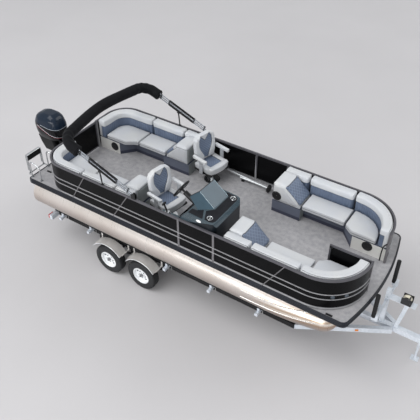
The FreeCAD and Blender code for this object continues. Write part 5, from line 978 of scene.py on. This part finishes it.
# ---------------------------------------------------------------- steering wheel and throttle
# A wheel of foamed black vinyl on three satin spokes, and a binnacle lever:
# a chromed dome on the side shelf with a black arm and grip.
satin = surface("satin aluminium", "#8D9093", "#A2A5A8", 80, 0.32, metallic=0.9, grain=2, bump=0.05)
finish_node("helm_wheel", control, satin,
            choose=lambda m, n: 1 if 0.045 < off_column(m) < 0.160 else 0)
wheel_r, grip_r = 0.182, 0.019
grip_ring = [(grip_r * math.cos(math.radians(a)), wheel_r + grip_r * math.sin(math.radians(a)))
             for a in range(0, 361, 30)]
fit(spun("wheel_grip", grip_ring, wheel_at, column, steps=64), control, "helm_wheel")
finish_node("throttle", steel, control, choose=lambda m, n: 0 if m.z < floor + 0.651 else 1)
lever_y = -1.177
lever = [bent("lever", [on_boat(3.556, lever_y, 0.640), on_boat(3.500, lever_y, 0.785)], 0.015),
         bent("grip", [on_boat(3.490, -1.205, 0.795), on_boat(3.490, -1.130, 0.795)], 0.021, sides=5)]
fit(join("throttle_lever", lever), control, "root")
dome = spun("throttle_dome", [(0.0, 0.066), (0.006, 0.066), (0.010, 0.062), (0.030, 0.059), (0.046, 0.050),
                              (0.054, 0.040)], on_boat(3.560, lever_y, 0.6005), (0, 0, 1))
fit(dome, steel, "root")

# ---------------------------------------------------------------- chairs
# Grey moulded arms carry sewn vinyl on chromed posts; the pans under the seats are black, painted shade.
# White bolsters wrap round a quilted slate centre, with a white head piece let
# into its top.
shell = surface("grey moulded chair arm", "#A3A6AA", "#B0B3B7", 200, 0.5, grain=2, bump=0.2)
finish_node("chair_pedestals", steel)
for part in ("helm_chair", "companion_chair"):
    # painted shade: the frame below the seat, its pan, is black so that it reads as the shade under the seat
    finish_node(part + "_frame", shell, control, choose=lambda m, n: 1 if m.z < floor + 0.330 else 0)
chair_half = 0.290
seat_top = 0.450
back_rise = 0.590


def chair_seat(co, normal):
    """Sunk slate centre between side bolsters and a thick front roll; the sides draw in below."""
    ahead, aside, up = co.x, co.y, co.z - floor
    inside = min(0.158 - abs(aside), 0.118 - ahead)
    sink = 0.030 * eased(inside, -0.022, 0.024) * eased(up, 0.37, 0.43)
    draw = 0.08 * eased(0.425 - up, 0.0, 0.10)
    skirt = 0.048 * eased(max(abs(ahead - 0.010) / 0.26, abs(aside) / chair_half), 0.86, 0.97)
    skirt *= 1 - eased(up, 0.34, 0.42)
    nose = 0.16 * eased(ahead, 0.10, 0.27) * (abs(aside) / chair_half) ** 2
    roll = 0.016 * eased(ahead, 0.12, 0.19) * (1 - eased(ahead, 0.20, 0.27)) * eased(up, 0.38, 0.44)
    co = Vector((ahead * (1 - 0.5 * draw) - nose * 0.25, aside * (1 - draw - nose * 0.5),
                 co.z - sink + roll - skirt))
    seam = inside if up > 0.40 else 1.0
    return co, (min(inside, up - 0.40), -1.0, seam, aside, ahead + 0.5)


def chair_back(co, normal):
    """Shield-shaped back: the slate field spreads into a horn on each side of a white head."""
    rise = (co.z - floor - seat_top) / back_rise
    aside = abs(co.y)
    width = 0.80 + 0.20 * eased(rise, 0.0, 0.42) - 0.06 * eased(rise, 0.62, 0.88)
    width -= 0.16 * max(rise - 0.86, 0.0) / 0.14 * min(aside / 0.16, 1.0)
    drop = 0.040 * eased(rise, 0.75, 1.0) * eased(aside, 0.12, 0.28)
    reach = 0.062 + 0.113 * eased(rise, 0.06, 0.62) - 0.030 * eased(rise, 0.80, 0.95)
    head = rise - 0.73 - 1.55 * aside
    slate = min(reach - aside, (0.945 - rise) * back_rise, -head * 0.30)
    face = normal.x > 0.3
    inside = min(reach + 0.022 - aside, (0.985 - rise) * 0.5)
    sink = 0.034 * eased(inside, -0.012, 0.050) if face else 0.0
    if face and head > 0:
        sink -= 0.012 * eased(head, 0.0, 0.10)
    place = Vector((co.x - sink, co.y * width, co.z - drop))
    seam = slate if face and abs(slate) < 0.02 else 1.0
    return place, (slate if face else -1.0, -1.0, seam, co.y, co.z)


def arm_pad(co, normal):
    """A long pad that reaches back beside the backrest and swells a little outward."""
    out = 0.008 * (1 if co.y > 0 else -1) * eased(abs(co.y), 0.300, 0.340)
    lift = 0.007 * (1 if co.z > floor + 0.6325 else -1)
    return Vector((co.x * 1.34 - 0.020, co.y + out, co.z + lift)), (-1.0, -1.0, 1.0, 0.0, 0.0)


for part, (x, y), turn in (("helm_chair", (3.195, -0.660), -10), ("companion_chair", (3.230, 0.800), -12)):
    place = Matrix.Translation((stern + x, y, 0)) @ Matrix.Rotation(math.radians(turn), 4, "Z")
    for number, cushion in enumerate(cushions(part + "_cushions")):
        height = middle(cushion).z - floor
        if height < 0.46:
            pattern, name, cell, rounds = chair_seat, "seat", 0.014, 7
        elif height > 0.69:
            pattern, name, cell, rounds = chair_back, "back", 0.014, 7
        else:
            pattern, name, cell, rounds = arm_pad, "arm_%d" % number, 0.015, 4
        cushion.name = part + "_" + name
        cushion.data.transform(place.inverted())
        worked = sewn(stuffed(cushion, cell, 0.006, 0.009, rounds), pattern)
        worked.data.transform(place)
        dressed(worked, vinyl, part, part + "_cushions")

# the stowed table legs: polished tubes in a black moulded socket and clip
tube_finish = surface("anodised post", "#DADDE0", "#E8EBED", 200, 0.32, metallic=0.5, grain=2, bump=0.0)
finish_node("table_pedestal", tube_finish, control,
            choose=lambda m, n: 1 if m.x > stern + 4.4255 or m.z < floor + 0.060 else 0)

# ---------------------------------------------------------------- folded bimini top
# Anodised tubes folded flat together, grey rubber sleeves over their middles
# and black moulded clamps; the canvas is rolled inside a black zipped boot.
pivot = Vector(on_boat(2.860, 0, 0.762))
arm_y = 1.260
arm_lean = math.radians(21)
along_arm = Vector((-math.cos(arm_lean), 0, math.sin(arm_lean)))
across_arm = Vector((math.sin(arm_lean), 0, math.cos(arm_lean)))
arm_tube = surface("grey anodised tube", "#7C8086", "#94989E", 160, 0.25, metallic=0.85, grain=2, bump=0.03)
sleeve = surface("black rubber sleeve", "#0A0B0D", "#121316", 120, 0.45, grain=3, bump=0.3, mirror=0.2)
bracket = surface("black moulded bracket", "#0E0F11", "#17181B", 60, 0.4, grain=2, bump=0.2, mirror=0.4)


def arm_finish(m, n):
    """Black clamps at the pivot and along the arm, a rubber sleeve over its middle, grey tube elsewhere."""
    off = m - pivot
    reach, lift = off.dot(along_arm), off.dot(across_arm)
    aside = abs(abs(m.y) - arm_y)
    outside = aside > 0.0118 or lift > 0.0695 or lift < -0.0545
    at_clamp = any(start - 0.001 < reach < start + 0.027 for start in (0.130, 0.404, 1.080, 1.300))
    if reach < 0.03 or (at_clamp and outside):
        return 2
    near_sleeve = min(math.hypot(aside, lift + 0.040), math.hypot(aside, lift - 0.055)) > 0.0165
    return 1 if 0.428 < reach < 1.082 and near_sleeve and abs(lift - 0.006) > 0.012 else 0


finish_node("bimini_arms", arm_tube, sleeve, bracket, choose=arm_finish)
finish_node("bimini_mounts", bracket)

# canvas: plain weave drawn at 3 mm, folded slack showing at the bends
canvas = surface("black marine canvas", "#08090C", "#0F1014", 300, 0.7, grain=3, bump=0.3, mirror=0.14)
canvas["shader"].inputs["Sheen Weight"].default_value = 0.03
canvas["shader"].inputs["Sheen Roughness"].default_value = 0.5


def boot_pattern(co, normal):
    """Slack folds bunch at the corners; between them the canvas hangs a little below its tubes."""
    off = co - pivot
    reach, lift = off.dot(along_arm), off.dot(across_arm)
    corner = max(0.0, 1 - abs(reach - 1.70) / 0.26) * max(0.0, 1 - abs(abs(co.y) - 1.13) / 0.32)
    span = reach * 9 - abs(co.y) * 14
    fold = math.sin(span * 3.1 + 2.0 * math.sin(lift * 30)) * (0.12 + 0.88 * corner)
    fold += 0.25 * math.sin(co.y * 9 + lift * 12) * (1 - corner)
    hang = 0.010 * eased(-normal.z, 0.2, 0.9)
    return co + normal * (0.006 * fold - 0.004) - Vector((0, 0, hang)), (-1.0, -1.0, 1.0, 0.0, 0.0)


for cushion in cushions("bimini_boot"):
    boot = sewn(stuffed(cushion, 0.020, 0.005, 0.008, 3), boot_pattern)
    dressed(boot, canvas, "bimini", "bimini_boot")
hem_outline = [(-0.016, 0.078), (-0.014, 0.102), (0.0, 0.111), (0.012, 0.113), (0.020, 0.110)]
hem = [spun("hem", hem_outline, pivot + along_arm * 1.380 + Vector((0, y, 0)), along_arm, steps=32)
       for y in (-arm_y, arm_y)]
fit(join("boot_hems", hem), canvas, "bimini")

# ---------------------------------------------------------------- outboard motor
# Die-cast aluminium leg and clamp under black enamel; the cowl is one moulded
# shell with a blue-black roof over a grey, a bright and a red line.
cast = surface("black enamelled casting", "#08090A", "#101114", 120, 0.34, grain=3, bump=0.1, mirror=0.12)
for part in ("motor_clamps", "motor_swivel", "motor_leg", "propeller"):
    finish_node(part, cast)
# each row: height over the base, aft end, fore end, half width
COWL = ((0.0, -0.865, -0.215, 0.195), (0.150, -0.892, -0.175, 0.232), (0.330, -0.900, -0.165, 0.245),
        (0.500, -0.835, -0.220, 0.218), (0.570, -0.755, -0.275, 0.170), (0.610, -0.640, -0.345, 0.115))


def cowl_section(up):
    """Aft end, fore end and half width of the cowl at a height, on a smooth run through its table."""
    low = max(i for i in range(len(COWL) - 1) if COWL[i][0] <= up + 1e-9)
    t = (up - COWL[low][0]) / (COWL[low + 1][0] - COWL[low][0])
    rows = [COWL[min(max(low + k, 0), len(COWL) - 1)] for k in (-1, 0, 1, 2)]
    result = []
    for column_of in (1, 2, 3):
        a, b, c, d = (row[column_of] for row in rows)
        rise_b, rise_c = 0.35 * (c - a), 0.35 * (d - b)
        result.append((2 * t ** 3 - 3 * t ** 2 + 1) * b + (t ** 3 - 2 * t ** 2 + t) * rise_b
                      + (3 * t ** 2 - 2 * t ** 3) * c + (t ** 3 - t ** 2) * rise_c)
    return result


cowl = begin("cowl_skin", bpy.ops.mesh.primitive_plane_add, size=1.0)
edit()
bpy.ops.mesh.bevel(offset=0.36, segments=9, affect="VERTICES")
bpy.ops.mesh.select_all(action="SELECT")
aft, fore, half = cowl_section(0.0)
cowl_base = floor + 0.180
bpy.ops.transform.resize(value=(fore - aft, 2 * half, 1.0))
bpy.ops.transform.translate(value=(stern + 0.5 * (aft + fore), 0, cowl_base + 0.0006))
lifts = [0.02, 0.06, 0.11, 0.16, 0.21, 0.26, 0.31, 0.35, 0.39, 0.43, 0.47, 0.505, 0.54, 0.568, 0.590, 0.603,
         0.609]
was, aft_was, fore_was, half_was = 0.0, aft, fore, half
for up in lifts:
    aft, fore, half = cowl_section(up)
    ahead = 0.5 * (aft + fore) - 0.5 * (aft_was + fore_was)
    bpy.ops.mesh.extrude_region_move(TRANSFORM_OT_translate={"value": (ahead, 0, up - was)})
    bpy.ops.transform.resize(value=((fore - aft) / (fore_was - aft_was), half / half_was, 1.0))
    was, aft_was, fore_was, half_was = up, aft, fore, half
bpy.ops.mesh.inset(thickness=0.045, depth=0.0006)
bpy.ops.mesh.select_all(action="SELECT")
bpy.ops.mesh.normals_make_consistent(inside=False)
leave()
modify(cowl, "SUBSURF", levels=1, render_levels=1)
cowl_coat = surface("gloss black cowl", "#050608", "#0B0C10", 300, 0.16, grain=6, bump=0.0, coat=0.1,
                    mirror=0.2)
spot = along(cowl_coat)
# each band lies between two heights over a line that falls forward along the side
tone = cowl_coat["colour"]
for low, high, lean, start, code in (
    (0.556, 1.000, 0.106, -1.00, "#1B2634"),
    (0.478, 0.494, 0.450, -0.72, "#7A1424"),
    (0.500, 0.513, 0.450, -0.72, "#C9CCD2"),
    (0.540, 0.556, 0.106, -0.62, "#8E949B"),
):
    fall = maths(cowl_coat, "MULTIPLY_ADD", spot["X"], lean, lean * (0.70 - stern) - floor)
    level = maths(cowl_coat, "ADD", spot["Z"], fall)
    above = maths(cowl_coat, "GREATER_THAN", level, low)
    below = maths(cowl_coat, "LESS_THAN", level, high)
    ahead = maths(cowl_coat, "GREATER_THAN", spot["X"], stern + start)
    inside = maths(cowl_coat, "MULTIPLY", maths(cowl_coat, "MULTIPLY", above, below), ahead)
    tone = mixed(cowl_coat, inside, tone, code)
wire(cowl_coat, "Base Color", tone)
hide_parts("motor_cowl")
fit(cowl, cowl_coat, "motor", smooth=50)

# ---------------------------------------------------------------- boarding ladder
# Polished stainless tube with black moulded treads, hinged between two hoops.
ladder_y, tread_half = -0.985, 0.183
finish_node("boarding_ladder", steel, control, choose=lambda m, n: (
    1 if abs(m.y - ladder_y) < tread_half and floor + 0.335 < m.z < floor + 0.452 else 0))
finish_node("ladder_handrails", steel)

# ---------------------------------------------------------------- deck and gate fittings
# Small bought-in fittings: a bent grab bar and latch at the bow gate, pull-up
# cleats on the deck's corners, docking lamps in the bow corners of the fence.
bar = bent("bow_grab_bar", [on_boat(7.150, 0.435, 0.420), on_boat(7.120, 0.428, 0.400),
                            on_boat(7.088, 0.420, 0.330), on_boat(7.078, 0.420, 0.180),
                            on_boat(7.078, 0.420, 0.001)], 0.011, tight=False)
fit(bar, bracket, "root")
cleats = []
for x, y in ((6.868, 1.243), (0.200, 0.900)):
    cleats.append(block("cleat_base", on_boat(x - 0.060, y - 0.022, 0.0005),
                        on_boat(x + 0.060, y + 0.022, 0.006), 0.0025))
    bail = [on_boat(x + ahead, y, up)
            for ahead, up in ((-0.045, 0.004), (-0.055, 0.022), (0.055, 0.022), (0.045, 0.004))]
    cleats.append(bent("cleat_bail", bail, 0.006))
pair("cleats", cleats, bracket)
lamps = []
for angle in (55, 38):
    way = Vector((math.cos(math.radians(angle)), math.sin(math.radians(angle)), 0))
    at = Vector((fence_bow - turn_bow, half_fence - turn_bow, floor + 0.305)) + way * (turn_bow - 0.006)
    lamps.append(spun("docking_lamp", [(0.0, 0.0), (0.003, 0.018), (0.001, 0.030), (0.004, 0.032),
                                       (0.004, 0.036), (-0.002, 0.038)], at, way, steps=28))
lamp_lens = surface("docking lamp lens", "#3C4650", "#56616B", 30, 0.12, metallic=0.4, grain=4, coat=0.6)
pair("docking_lamps", lamps, lamp_lens)
gate_low, gate_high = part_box("bow_gate")
latch = block("bow_gate_latch", (gate_low[0] + 0.004, gate_low[1] - 0.010, gate_high[2] - 0.060),
              (gate_low[0] + 0.060, gate_low[1] + 0.002, gate_high[2] - 0.020), 0.003)
fit(latch, bracket, "bow_gate")

# ---------------------------------------------------------------- studio
# A plain pale floor that runs out past the view, one broad soft lamp high up, a
# weaker one across from it, a low strip to starboard and an even pale surround.
studio = surface("studio floor", "#C9C7C8", "#C5C3C4", 3000, 0.85, grain=40, bump=0.02)
# the floor lies a hair below the wheels, so that the two faces don't share a plane
ground = begin("studio_floor", bpy.ops.mesh.primitive_plane_add, size=600, location=(0, 0, -0.0005))
ground.data.materials.append(studio["material"])
world = bpy.data.worlds.new("studio surround")
bpy.context.scene.world = world
world.use_nodes = True
world.node_tree.nodes["Background"].inputs["Color"].default_value = linear("#F1F3F6")
world.node_tree.nodes["Background"].inputs["Strength"].default_value = 0.74
for name, spot, aim, size, tall, power in (
    ("key", (-9.0, -16.0, 30.0), (0, 0, 1), 22.0, 22.0, 5400),
    ("cross", (20.0, 20.0, 22.0), (0, 0, 1), 18.0, 18.0, 2400),
    ("low", (2.0, -26.0, 5.5), (0, 0, 1.2), 34.0, 7.0, 700),
):
    bpy.ops.object.light_add(type="AREA", location=spot)
    lamp = bpy.context.object
    lamp.name = name
    lamp.data.shape = "RECTANGLE"
    lamp.data.size = size
    lamp.data.size_y = tall
    lamp.data.spread = math.radians(60 if name == "low" else 180)
    lamp.data.energy = power
    lamp.rotation_euler = (Vector(aim) - Vector(spot)).to_track_quat("-Z", "Y").to_euler()

# ---------------------------------------------------------------- camera
# It stands off the starboard bow, high enough to look down into the boat, and
# its lens is a little longer than normal.
camera_down, camera_turn = 39.901, 33.426
bpy.ops.object.camera_add(location=on_boat(8.933, -7.917, 7.858),
                          rotation=(math.radians(90 - camera_down), 0, math.radians(camera_turn)))
camera = bpy.context.object
camera.data.lens = 53.157
camera.data.sensor_width = 36.0
camera.data.clip_end = 200
bpy.context.scene.camera = camera
bpy.context.scene.view_settings.view_transform = "Standard"
